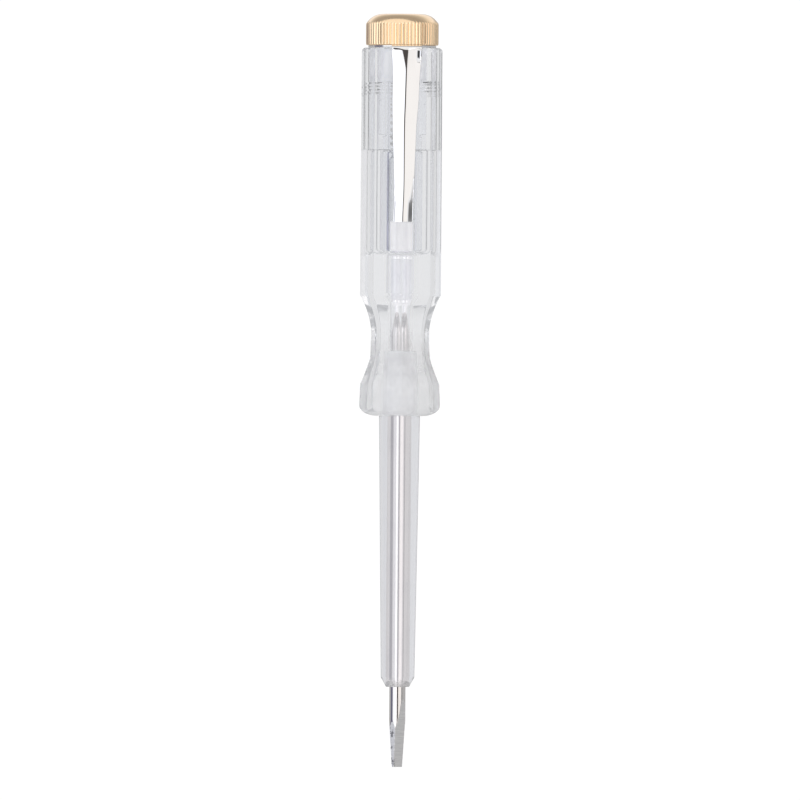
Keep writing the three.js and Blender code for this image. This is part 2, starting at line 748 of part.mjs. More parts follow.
// The cap: a straight knurled band under a shallow dome, with a blind hole for the stud
function cap() {
  const knurl = new THREE.Shape();
  const corners = 2 * KNURL_RIDGES;
  for (let corner = 0; corner < corners; corner += 1) {
    const angle = (2 * Math.PI * corner) / corners;
    const radius = corner % 2 === 0 ? CAP_RADIUS : CAP_RADIUS - KNURL_DEPTH;
    if (corner === 0) {
      knurl.moveTo(radius, 0);
    } else {
      knurl.lineTo(radius * Math.cos(angle), radius * Math.sin(angle));
    }
  }
  knurl.closePath();
  const height = capTopY - capY;
  const prism = new THREE.ExtrudeGeometry(knurl, { depth: height, bevelEnabled: false });
  prism.rotateX(-Math.PI / 2);
  prism.translate(0, capY, 0);
  const dome = quarterRound(
    [CAP_RADIUS + ENVELOPE_MARGIN, capDomeY],
    [CAP_FACE_RADIUS, capTopY],
    [CAP_FACE_RADIUS, capDomeY],
  );
  const envelope = revolved([
    [0, capY],
    [CAP_RADIUS - CAP_LIP, capY],
    [CAP_RADIUS + ENVELOPE_MARGIN, capY + CAP_LIP],
    ...dome,
    [0, capTopY],
  ], corners);
  const hole = revolved([
    [0, capY - CUT_OVERRUN],
    [STUD_RADIUS + PRESS_CLEARANCE, capY - CUT_OVERRUN],
    [STUD_RADIUS + PRESS_CLEARANCE, capY + STUD_SEAT_DEPTH + SEAT_GAP],
    [0, capY + STUD_SEAT_DEPTH + SEAT_GAP],
  ], BORE_SEGMENTS);
  return toGeometry(toSolid(prism).intersect(toSolid(envelope)).subtract(toSolid(hole)));
}

// The clip's ring lies under the cap, and its tab bends down over the handle's edge
function clipRing() {
  const plate = circleShape(CLIP_RING_RADIUS, BODY_SEGMENTS);
  plate.holes.push(circleShape(STUD_RADIUS + SLIP_CLEARANCE + CLIP_CLEARANCE, BORE_SEGMENTS));
  const ring = new THREE.ExtrudeGeometry(plate, { depth: CLIP_SHEET, bevelEnabled: false });
  ring.rotateX(-Math.PI / 2);
  ring.translate(0, clipRingY, 0);
  const ringTopY = clipRingY + CLIP_SHEET;
  const outerRadius = clipInnerRadius + CLIP_SHEET;
  const bendOuter = CLIP_BEND_RADIUS + CLIP_SHEET;
  const bendStart = outerRadius - bendOuter;
  const bendY = ringTopY - bendOuter;
  const tab = new THREE.Shape();
  tab.moveTo(CLIP_RING_RADIUS - CLIP_NECK_WIDTH / 2, clipRingY);
  tab.lineTo(bendStart, clipRingY);
  tab.absarc(bendStart, bendY, CLIP_BEND_RADIUS, Math.PI / 2, 0, true);
  tab.lineTo(clipInnerRadius, clipHingeY + CLIP_HINGE_GAP);
  tab.lineTo(outerRadius, clipHingeY + CLIP_HINGE_GAP);
  tab.absarc(bendStart, bendY, bendOuter, 0, Math.PI / 2, false);
  tab.lineTo(CLIP_RING_RADIUS - CLIP_NECK_WIDTH / 2, ringTopY);
  tab.closePath();
  const strap = pushedAcross(tab, CLIP_NECK_WIDTH);
  strap.translate(CLIP_SWAY, 0, 0);
  return toGeometry(toSolid(ring).add(toSolid(strap)));
}

// Widths, rises and sideways places of the clip's arm, as shares of its own sizes, from hinge to
// free end
const CLIP_PLACE_SHARES = [0, 0.14, 0.3, 0.44, 0.6, 0.8, 1];
const CLIP_TAPER_SHARES = [0.12, 0.36, 0.45, 0.65, 0.81, 1, 0.98];
const CLIP_BOW_SHARES = [0.1, 0.7, 1, 0.95, 0.8, 0.55, 0.5];
const CLIP_SWAY_SHARES = [1, 0.78, 0.5, 0.22, 0.22, 0.22, -0.15];
const CLIP_LIP_START_SHARE = 0.9;
const CLIP_TWIST_START_SHARE = 0.5;
const CLIP_RIDGE_SOFT_SHARE = 0.1;
const CLIP_PRESS_START_SHARE = 0.5;
const CLIP_PRESS_ONSET_SHARE = 0.012;

function shareAt(places, shares, place) {
  const points = places.map((at, i) => new THREE.Vector2(at, shares[i]));
  const next = Math.max(1, places.findIndex((at) => at >= place));
  const t = (next - 1 + (place - places[next - 1]) / (places[next] - places[next - 1]))
    / (places.length - 1);
  return new THREE.SplineCurve(points).getPoint(t).y;
}

// How far a place lies past a start, as a share of what remains up to 1
function shareBeyond(start, place) {
  return Math.max(0, (place - start) / (1 - start));
}

// How far the arm's section drops from its ridge towards its edges, which are pressed down
// further near the free end
function ridgeDrop(across, place, width) {
  const soft = CLIP_RIDGE_SOFT_SHARE;
  const ridge = Math.hypot(across, soft) - soft;
  const pressed = place > clipPressedFrom ? CLIP_PRESSED_DROP : 0;
  return CLIP_RIDGE_RISE * ridge * (width / CLIP_NECK_WIDTH)
    + pressed * shareBeyond(CLIP_PRESS_START_SHARE, Math.abs(across)) ** 2;
}

// One section of the arm: a strip with a ridge down its middle and a parallel inner face
function clipSection(place) {
  const taper = shareAt(CLIP_PLACE_SHARES, CLIP_TAPER_SHARES, place);
  const width = CLIP_NECK_WIDTH + (CLIP_END_WIDTH - CLIP_NECK_WIDTH) * taper;
  const bow = CLIP_BOW * shareAt(CLIP_PLACE_SHARES, CLIP_BOW_SHARES, place);
  const sway = CLIP_SWAY * shareAt(CLIP_PLACE_SHARES, CLIP_SWAY_SHARES, place);
  const rise = CLIP_LIP_RISE * shareBeyond(CLIP_LIP_START_SHARE, place) ** 2;
  const middle = clipInnerRadius + CLIP_SHEET / 2 + bow + rise;
  const y = clipHingeY - clipArmLength * place;
  const twist = THREE.MathUtils.degToRad(CLIP_TWIST_DEGREES)
    * shareBeyond(CLIP_TWIST_START_SHARE, place);
  const facePoint = (across, out) => new THREE.Vector3(
    sway + across * (width / 2) * Math.cos(twist) + out * Math.sin(twist),
    y,
    middle + out * Math.cos(twist) - across * (width / 2) * Math.sin(twist),
  );
  const outerFace = [];
  const innerFace = [];
  for (let step = 0; step <= CLIP_CROSS_STEPS; step += 1) {
    const across = (2 * step) / CLIP_CROSS_STEPS - 1;
    const drop = ridgeDrop(across, place, width);
    outerFace.push(facePoint(across, CLIP_SHEET / 2 - drop));
    innerFace.push(facePoint(across, -CLIP_SHEET / 2 - drop));
  }
  return [...outerFace, ...innerFace.reverse()];
}

function clipArm() {
  const rings = [];
  for (let station = 0; station <= CLIP_STATIONS; station += 1) {
    rings.push(clipSection(clipPressedFrom * (station / CLIP_STATIONS)));
  }
  const pressedFrom = clipPressedFrom + CLIP_PRESS_ONSET_SHARE;
  for (let station = 0; station <= CLIP_PRESSED_STATIONS; station += 1) {
    rings.push(clipSection(
      pressedFrom + (1 - pressedFrom) * (station / CLIP_PRESSED_STATIONS),
    ));
  }
  return stripLoft(rings);
}

// A closed skin over strip sections, whose end faces are built from narrow quads
function stripLoft(rings) {
  const count = rings[0].length;
  const body = lofted(rings);
  const faces = Array.from(body.index.array).slice(0, (rings.length - 1) * count * 6);
  const last = (rings.length - 1) * count;
  for (let step = 0; step < CLIP_CROSS_STEPS; step += 1) {
    const far = count - 1 - step;
    faces.push(step, far, step + 1);
    faces.push(step + 1, far, far - 1);
    faces.push(last + step, last + step + 1, last + far);
    faces.push(last + step + 1, last + far - 1, last + far);
  }
  body.setIndex(faces);
  return body;
}

// Colours and finishes
const FINISHES = {
  clear: { color: 0xe6ecef, roughness: 0.06, metalness: 0, transparent: true, opacity: 0.35 },
  glass: { color: 0xeef2f2, roughness: 0.03, metalness: 0, transparent: true, opacity: 0.3 },
  steel: { color: 0xb4b4b6, roughness: 0.28, metalness: 1 },
  chrome: { color: 0xdcdcde, roughness: 0.08, metalness: 1 },
  nickel: { color: 0xb9b6ad, roughness: 0.3, metalness: 1 },
  brass: { color: 0xd8b47a, roughness: 0.3, metalness: 1 },
  ceramic: { color: 0xd9dade, roughness: 0.4, metalness: 0 },
  stem: { color: 0xd4d7d8, roughness: 0.35, metalness: 0 },
};

function piece(name, geometry, finish) {
  const shaped = cleaned(geometry);
  shaped.computeVertexNormals();
  const mesh = new THREE.Mesh(shaped, new THREE.MeshStandardMaterial(FINISHES[finish]));
  mesh.name = name;
  return mesh;
}

function turned(turnDegrees, ...pieces) {
  const group = new THREE.Group();
  group.rotation.y = THREE.MathUtils.degToRad(turnDegrees);
  group.add(...pieces);
  return group;
}

const pen = new THREE.Group();
pen.position.set(0, -capTopY / 2, handleApothem);
pen.add(
  piece('handle', handle(), 'clear'),
  piece('blade_sleeve', sleeve(), 'clear'),
  turned(BLADE_TURN_DEGREES, piece('blade', blade(), 'steel')),
  piece('resistor_body', resistorBody(), 'ceramic'),
  piece('resistor_cap_lower', resistorCapLower(), 'nickel'),
  piece('resistor_cap_upper', resistorCapUpper(), 'nickel'),
  piece('lamp_carrier', lampCarrier(), 'clear'),
  piece('lamp_bulb', lampBulb(), 'glass'),
  piece('lamp_stem', lampStem(), 'stem'),
  turned(
    LEAD_TURN_DEGREES,
    piece('lamp_electrode_a', lampElectrode(-1), 'nickel'),
    piece('lamp_electrode_b', lampElectrode(1), 'nickel'),
    piece('lamp_lead_upper', lampLeadUpper(), 'nickel'),
    piece('lamp_lead_lower', lampLeadLower(), 'nickel'),
  ),
  piece('contact_spring', contactSpring(), 'steel'),
  piece('end_plug', endPlug(), 'clear'),
  piece('cap_stud', capStud(), 'nickel'),
  piece('cap', cap(), 'brass'),
  turned(
    CLIP_TURN_DEGREES,
    piece('clip_ring', clipRing(), 'chrome'),
    piece('clip_arm', clipArm(), 'chrome'),
  ),
);

const part = new THREE.Group();
part.add(pen);

export default part;
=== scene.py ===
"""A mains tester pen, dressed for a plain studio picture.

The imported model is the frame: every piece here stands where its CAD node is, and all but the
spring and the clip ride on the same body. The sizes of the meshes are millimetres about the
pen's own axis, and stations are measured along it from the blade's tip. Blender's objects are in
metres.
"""

import logging
import math
from dataclasses import dataclass, field
from enum import Enum
from typing import Any, Callable, Iterable, Optional, Sequence, Union

import bmesh
import bpy
from mathutils import Matrix, Vector


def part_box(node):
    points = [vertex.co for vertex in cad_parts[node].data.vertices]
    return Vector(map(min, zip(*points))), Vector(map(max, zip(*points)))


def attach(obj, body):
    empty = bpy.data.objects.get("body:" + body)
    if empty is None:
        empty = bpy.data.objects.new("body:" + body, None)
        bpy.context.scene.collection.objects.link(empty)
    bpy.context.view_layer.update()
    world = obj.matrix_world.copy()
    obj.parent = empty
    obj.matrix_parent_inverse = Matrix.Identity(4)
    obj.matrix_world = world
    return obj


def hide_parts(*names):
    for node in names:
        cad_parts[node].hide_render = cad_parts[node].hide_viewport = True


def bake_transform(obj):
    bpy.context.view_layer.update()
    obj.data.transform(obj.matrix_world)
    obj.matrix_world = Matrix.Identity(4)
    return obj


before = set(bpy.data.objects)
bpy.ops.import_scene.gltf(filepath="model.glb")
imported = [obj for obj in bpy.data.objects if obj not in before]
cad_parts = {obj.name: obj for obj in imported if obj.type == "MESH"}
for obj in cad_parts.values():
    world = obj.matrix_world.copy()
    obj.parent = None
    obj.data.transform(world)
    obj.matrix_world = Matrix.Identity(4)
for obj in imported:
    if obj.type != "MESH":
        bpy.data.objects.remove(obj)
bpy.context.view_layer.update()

MM = 0.001
LOW, HIGH = 0, 1
FULL_TURN = 2 * math.pi
QUARTER_TURN = math.pi / 2
MERGE_DISTANCE = 2e-7
SHARP_ANGLE = math.radians(33)
WHITE = (1.0, 1.0, 1.0)
LARGEST_SHARE = 0.49  # of an edge, that one of its corners may take up
WIRE_END_DEGREES = (15, 40, 65)
TINY = 1e-6
BEND_STEPS = 6
NORMAL_WEIGHT = 80

log = logging.getLogger("tester_pen")

Colour = tuple[float, float, float]
Point = tuple[float, float, float]
Ring = list[Point]
Spot = tuple[float, float]
Outline = list[Spot]


class Body(Enum):
    """The bodies that the pieces ride on."""

    HANDLE = "handle_body"
    CARRIAGE = "cap_carriage"
    CAP = "cap_unit"
    CLIP_MOUNT = "clip_mount"
    CLIP_ARM = "clip_spring_arm"


class Slot(Enum):
    """The record's material slots."""

    CLEAR = "clear_plastic"
    GLASS = "lamp_glass"
    STEM = "stem_glass"
    STEEL = "blade_steel"
    CHROME = "clip_chrome"
    NICKEL = "contact_nickel"
    BRASS = "cap_brass"
    CERAMIC = "resistor_ceramic"


# ---- where the CAD solids lie

HANDLE_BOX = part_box("handle")
AXIS_HEIGHT = (HANDLE_BOX[LOW].z + HANDLE_BOX[HIGH].z) / 2
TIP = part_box("blade")[LOW].y


def station(node: str, end: int) -> float:
    """Millimetres from the blade's tip to the LOW or HIGH end of a CAD node."""
    return (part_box(node)[end].y - TIP) / MM


def ends(node: str) -> Spot:
    """The stations of both ends of a CAD node."""
    return station(node, LOW), station(node, HIGH)


def reach(node: str) -> float:
    """The outer radius of a round CAD node, in millimetres."""
    return (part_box(node)[HIGH].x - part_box(node)[LOW].x) / 2 / MM


def in_frame(point: Sequence[float]) -> Vector:
    """A point across, along and above the pen's axis, in millimetres, as a place in the frame."""
    return Vector((point[0] * MM, TIP + point[1] * MM, AXIS_HEIGHT + point[2] * MM))


# ---- outlines, rings and skins


def rounded(corners: Sequence[tuple[float, float, float]], steps: int = 5) -> Outline:
    """An outline whose corners are rounded by arcs.

    Args:
        corners: Radius, station and rounding of each corner.
        steps: Straight pieces in each arc.

    Returns:
        The outline's points, as radius and station.
    """
    points: Outline = []
    for i, (radius, along, rounding) in enumerate(corners):
        if rounding == 0 or i in (0, len(corners) - 1):
            points.append((radius, along))
            continue
        here = Vector((radius, along))
        back = Vector(corners[i - 1][:2]) - here
        ahead = Vector(corners[i + 1][:2]) - here
        half = back.angle(ahead) / 2
        most = LARGEST_SHARE * min(back.length, ahead.length)
        tangent = min(rounding / math.tan(half), most)
        start, end = back.normalized() * tangent, ahead.normalized() * tangent
        centre = (back.normalized() + ahead.normalized()).normalized() * (tangent / math.cos(half))
        for step in range(steps + 1):
            spoke = (start - centre).slerp(end - centre, step / steps)
            points.append(tuple(here + centre + spoke * (start - centre).length))
    return points


def quarter(start: Spot, end: Spot, inner: Spot, steps: int = 14) -> Outline:
    """A quarter of an ellipse from start to end that bulges away from the inner corner.

    Args:
        start: First point, as radius and station.
        end: Last point.
        inner: The corner that both axes of the ellipse pass through.
        steps: Straight pieces.

    Returns:
        The points from start to end.
    """
    points = []
    for step in range(steps + 1):
        turn = QUARTER_TURN * step / steps
        ahead, beside = math.cos(turn), math.sin(turn)
        points.append(
            tuple(c + (s - c) * ahead + (e - c) * beside for s, e, c in zip(start, end, inner))
        )
    return points


def bezier(points: Sequence[Spot], steps: int) -> Outline:
    """A cubic curve through four control points.

    Args:
        points: The four control points, as radius and station.
        steps: Straight pieces.

    Returns:
        The points from the first control point to the last.
    """
    first, second, third, last = (Vector(p) for p in points)
    curve = []
    for t in (step / steps for step in range(steps + 1)):
        u = 1 - t
        spot = first * u**3 + second * 3 * u * u * t + third * 3 * u * t * t + last * t**3
        curve.append(tuple(spot))
    return curve


def clamp(value: float) -> float:
    """A number held between 0 and 1."""
    return min(max(value, 0.0), 1.0)


def beyond(start: float, place: float) -> float:
    """How far a place lies past a start, as a share of what remains up to 1."""
    return max(0.0, (place - start) / (1 - start))


def least(first: float, second: float, blend: float) -> float:
    """The smaller of two radii, with a soft passage where they differ by less than the blend."""
    overlap = max(blend - abs(first - second), 0) / blend
    return min(first, second) - overlap * overlap * blend / 4


def around(radius: float, along: float, angle: float) -> Point:
    """A point about the pen's axis. Its angle counts from straight up towards +X."""
    return (radius * math.sin(angle), along, radius * math.cos(angle))


def circles(outline: Outline, angles: Sequence[float]) -> list[Ring]:
    """A ring about the pen's axis for each point of an outline."""
    return [[around(radius, along, a) for a in angles] for radius, along in outline]


def even_angles(count: int) -> list[float]:
    """Angles that part the full turn evenly."""
    return [FULL_TURN * i / count for i in range(count)]


def turned_up(point: Point, turn: float) -> Point:
    """A point turned about the pen's axis from straight up towards +X."""
    return tuple(Matrix.Rotation(turn, 3, "Y") @ Vector(point))


@dataclass
class Skin:
    """A closed skin that is gathered shell by shell, in millimetres about the pen's axis."""

    points: list[Point] = field(default_factory=list)
    faces: list[tuple[int, ...]] = field(default_factory=list)
    finishes: list[int] = field(default_factory=list)

    def add_face(self, corners: Iterable[int], finish: int) -> None:
        """Adds a face, given its points' numbers and the number of its finish."""
        self.faces.append(tuple(corners))
        self.finishes.append(finish)

    def loft(
        self,
        rings: Sequence[Ring],
        looped: bool = False,
        finish: Callable[[int, int], int] = lambda ring, column: 0,
    ) -> "Skin":
        """Adds a shell over rings that all have the same count of points.

        Args:
            rings: The rings in order. A ring of radius nought is taken as a pole.
            looped: Whether the last ring joins the first; otherwise the ends are closed.
            finish: Gives each face's finish from its ring and column.

        Returns:
            The skin itself.
        """
        base, count = len(self.points), len(rings[0])
        for ring in rings:
            self.points.extend(ring)
        pairs = len(rings) if looped else len(rings) - 1
        for i in range(pairs):
            here = base + i * count
            above = base + (i + 1) % len(rings) * count
            for j in range(count):
                k = (j + 1) % count
                self.add_face((here + j, here + k, above + k, above + j), finish(i, j))
        if not looped:
            last = base + (len(rings) - 1) * count
            self.add_face(range(base, base + count), finish(0, 0))
            self.add_face(range(last, last + count), finish(pairs - 1, 0))
        return self

    def revolve(self, outline: Outline, columns: int, looped: bool = False) -> "Skin":
        """Adds a shell of revolution, whose outline is a loop or runs from axis to axis."""
        return self.loft(circles(outline, even_angles(columns)), looped)

    def mesh(self, name: str) -> bpy.types.Mesh:
        """The skin as a mesh in the frame's metres, with merged poles and outward faces.

        Args:
            name: The mesh's name.

        Returns:
            The mesh.
        """
        made = bpy.data.meshes.new(name)
        made.from_pydata([in_frame(p) for p in self.points], [], self.faces)
        for face, finish in zip(made.polygons, self.finishes):
            face.material_index = finish
        work = bmesh.new()
        work.from_mesh(made)
        bmesh.ops.remove_doubles(work, verts=work.verts, dist=MERGE_DISTANCE)
        bmesh.ops.recalc_face_normals(work, faces=work.faces)
        work.to_mesh(made)
        work.free()
        made.shade_smooth()
        made.set_sharp_from_angle(angle=SHARP_ANGLE)
        return made


def wire(path: Sequence[Vector], radius: float, sides: int) -> Skin:
    """A round wire along a path, with rounded ends.

    Args:
        path: Points of its centreline, across, station and up.
        radius: The wire's radius.
        sides: Facets round the wire.

    Returns:
        The wire's skin.
    """
    count = len(path)
    spans = [path[min(i + 1, count - 1)] - path[max(i - 1, 0)] for i in range(count)]
    tangents = [span.normalized() for span in spans]
    side = tangents[0].orthogonal().normalized()
    frames = []
    for i, tangent in enumerate(tangents):
        if i:
            side = tangents[i - 1].rotation_difference(tangent) @ side
            side = (side - tangent * side.dot(tangent)).normalized()
        frames.append((path[i], tangent, side))
    sizes = [math.sin(math.radians(degrees)) * radius for degrees in WIRE_END_DEGREES]
    caps = [(math.cos(math.asin(size / radius)) * radius, size) for size in sizes]
    stations = [(frames[0], -shift, size) for shift, size in caps]
    stations += [(here, 0.0, radius) for here in frames]
    stations += [(frames[-1], shift, size) for shift, size in reversed(caps)]
    rings = []
    for (centre, tangent, right), shift, size in stations:
        up = tangent.cross(right)
        spokes = [right * math.cos(a) + up * math.sin(a) for a in even_angles(sides)]
        rings.append([tuple(centre + tangent * shift + spoke * size) for spoke in spokes])
    return Skin().loft(rings)


def bent_path(corners: Sequence[Vector], bend: float, spacing: float) -> list[Vector]:
    """A path of straight stretches joined by round bends.

    Args:
        corners: The path's corners.
        bend: How far from a corner its bend begins.
        spacing: Distance between points on the straights.

    Returns:
        The path's points.
    """
    path: list[Vector] = [corners[0]]
    for i in range(1, len(corners)):
        bends = i + 1 < len(corners)
        corner = target = corners[i]
        if bends:
            target = corner + (corners[i - 1] - corner).normalized() * bend
        start = path[-1]
        count = max(1, round((target - start).length / spacing))
        path += [start.lerp(target, step / count) for step in range(1, count + 1)]
        if bends:
            leave = corner + (corners[i + 1] - corner).normalized() * bend
            for t in (step / BEND_STEPS for step in range(1, BEND_STEPS + 1)):
                path.append(target * (1 - t) ** 2 + corner * 2 * t * (1 - t) + leave * t * t)
    return path


# ---- shader maths

Number = Union[float, "Value"]


class Value:
    """A number that varies over a surface. Sums on it add the shader's Math nodes."""

    def __init__(self, shader: "Shader", socket: bpy.types.NodeSocket) -> None:
        """Wraps the output socket of one of the shader's nodes."""
        self.shader = shader
        self.socket = socket

    def _sum(self, operation: str, first: Number, second: Number) -> "Value":
        """One Math node."""
        return self.shader.node("Math", {"operation": operation}, {0: first, 1: second})

    def __add__(self, other: Number) -> "Value":
        """Adds a number."""
        return self._sum("ADD", self, other)

    def __sub__(self, other: Number) -> "Value":
        """Takes a number away."""
        return self._sum("SUBTRACT", self, other)

    def __rsub__(self, other: Number) -> "Value":
        """Takes this away from a number."""
        return self._sum("SUBTRACT", other, self)

    def __mul__(self, other: Number) -> "Value":
        """Multiplies by a number."""
        return self._sum("MULTIPLY", self, other)

    def __abs__(self) -> "Value":
        """The size without the sign."""
        return self._sum("ABSOLUTE", self, 0.0)

    def ramp(self, low: float, high: float) -> "Value":
        """Rises smoothly from 0 at low to 1 at high."""
        smooth = {"interpolation_type": "SMOOTHSTEP"}
        return self.shader.node("MapRange", smooth, {0: self, 1: low, 2: high})

    def part(self, axis: str) -> "Value":
        """The X, Y or Z part of a place."""
        return self.shader.node("SeparateXYZ", None, {0: self}, axis)

    def stretched(self, per_metre: Point) -> "Value":
        """A place that is counted at its own scale along X, Y and Z."""
        return self.shader.node("VectorMath", {"operation": "MULTIPLY"}, {0: self, 1: per_metre})

    def noise(self, per_metre: Point, detail: float = 2.0, roughness: float = 0.5) -> "Value":
        """Smooth noise about 0.5 over a place.

        Args:
            per_metre: How many lumps there are in a metre along X, Y and Z.
            detail: How many finer layers it has.
            roughness: How strong the finer layers are.

        Returns:
            The noise.
        """
        place = self.stretched(per_metre)
        values = {"Vector": place, "Scale": 1.0, "Detail": detail, "Roughness": roughness}
        return self.shader.node("TexNoise", None, values)


class Shader:
    """Builds one material's or the world's nodes."""

    def __init__(self, tree: bpy.types.NodeTree, output: str) -> None:
        """Clears a node tree and gives it an output.

        Args:
            tree: The tree to build in.
            output: The output node's type.
        """
        tree.nodes.clear()
        self.tree = tree
        self.output = tree.nodes.new(output)

    @classmethod
    def for_material(cls, name: str) -> tuple["Shader", bpy.types.Material]:
        """A new material and the shader that builds it.

        Args:
            name: The material's name.

        Returns:
            The shader and the material.
        """
        material = bpy.data.materials.new(name)
        material.use_nodes = True
        return cls(material.node_tree, "ShaderNodeOutputMaterial"), material

    def node(
        self,
        kind: str,
        settings: Optional[dict[str, Any]] = None,
        values: Optional[dict[Union[int, str], Any]] = None,
        output: Union[int, str] = 0,
    ) -> Value:
        """Adds any node: its settings first, then what goes into its sockets.

        Args:
            kind: The node's type, without ShaderNode.
            settings: Its properties. "stops" holds a ramp's places and colours.
            values: What its sockets get, by name or number: a number, a colour or a Value.
            output: The output to hand on.

        Returns:
            The chosen output.
        """
        made = self.tree.nodes.new(f"ShaderNode{kind}")
        for key, setting in (settings or {}).items():
            if key == "stops":
                self._set_stops(made.color_ramp, setting)
            else:
                setattr(made, key, setting)
        for key, value in (values or {}).items():
            socket = made.inputs[key]
            if isinstance(value, Value):
                self.tree.links.new(value.socket, socket)
            elif socket.type == "RGBA" and len(value) == 3:
                socket.default_value = (*value, 1.0)
            else:
                socket.default_value = value
        return Value(self, made.outputs[output])

    @staticmethod
    def _set_stops(ramp: bpy.types.ColorRamp, stops: Sequence[tuple[float, Colour]]) -> None:
        """Sets a ramp's stops.

        Args:
            ramp: The ramp.
            stops: Place and colour of each stop, in order.
        """
        while len(ramp.elements) < len(stops):
            ramp.elements.new(1.0)
        for element, (place, colour) in zip(ramp.elements, stops):
            element.position = place
            element.color = (*colour, 1.0)

    def is_ray(self, kind: str) -> Value:
        """1 for a ray of this kind, else 0."""
        return self.node("LightPath", output=f"Is {kind} Ray")

    def mixed(self, share: Number, first: Any, second: Any) -> Value:
        """A colour between two others: share 0 gives the first and 1 the second."""
        return self.node("Mix", {"data_type": "RGBA"}, {0: share, 6: first, 7: second}, 2)

    def bump(self, height: Value, metres: float) -> Value:
        """A normal from a height that stands for this many metres of relief."""
        return self.node("Bump", None, {"Distance": metres, "Height": height})

    def blended(self, share: Number, first: Value, second: Value) -> Value:
        """A surface between two others."""
        return self.node("MixShader", None, {0: share, 1: first, 2: second})

    def principled(self, values: dict[str, Any]) -> Value:
        """The general surface."""
        return self.node("BsdfPrincipled", None, values)

    def finish_with(self, made: Value, socket: str = "Surface") -> None:
        """Links a surface, or a Volume, to the output."""
        self.tree.links.new(made.socket, self.output.inputs[socket])


# ---- finishes


@dataclass(frozen=True)
class Finish:
    """What all finishes have: a name and the record's slot."""

    name: str
    slot: Slot

    def material(self) -> bpy.types.Material:
        """The finish as a new material.

        Returns:
            The material.
        """
        shader, material = Shader.for_material(self.name)
        self.dress(shader, shader.node("TexCoord", output="Object"))
        return material

    def dress(self, shader: Shader, place: Value) -> None:
        """Builds the finish.

        Args:
            shader: The shader to build in.
            place: The place on the object, in metres of the frame.
        """
        raise NotImplementedError


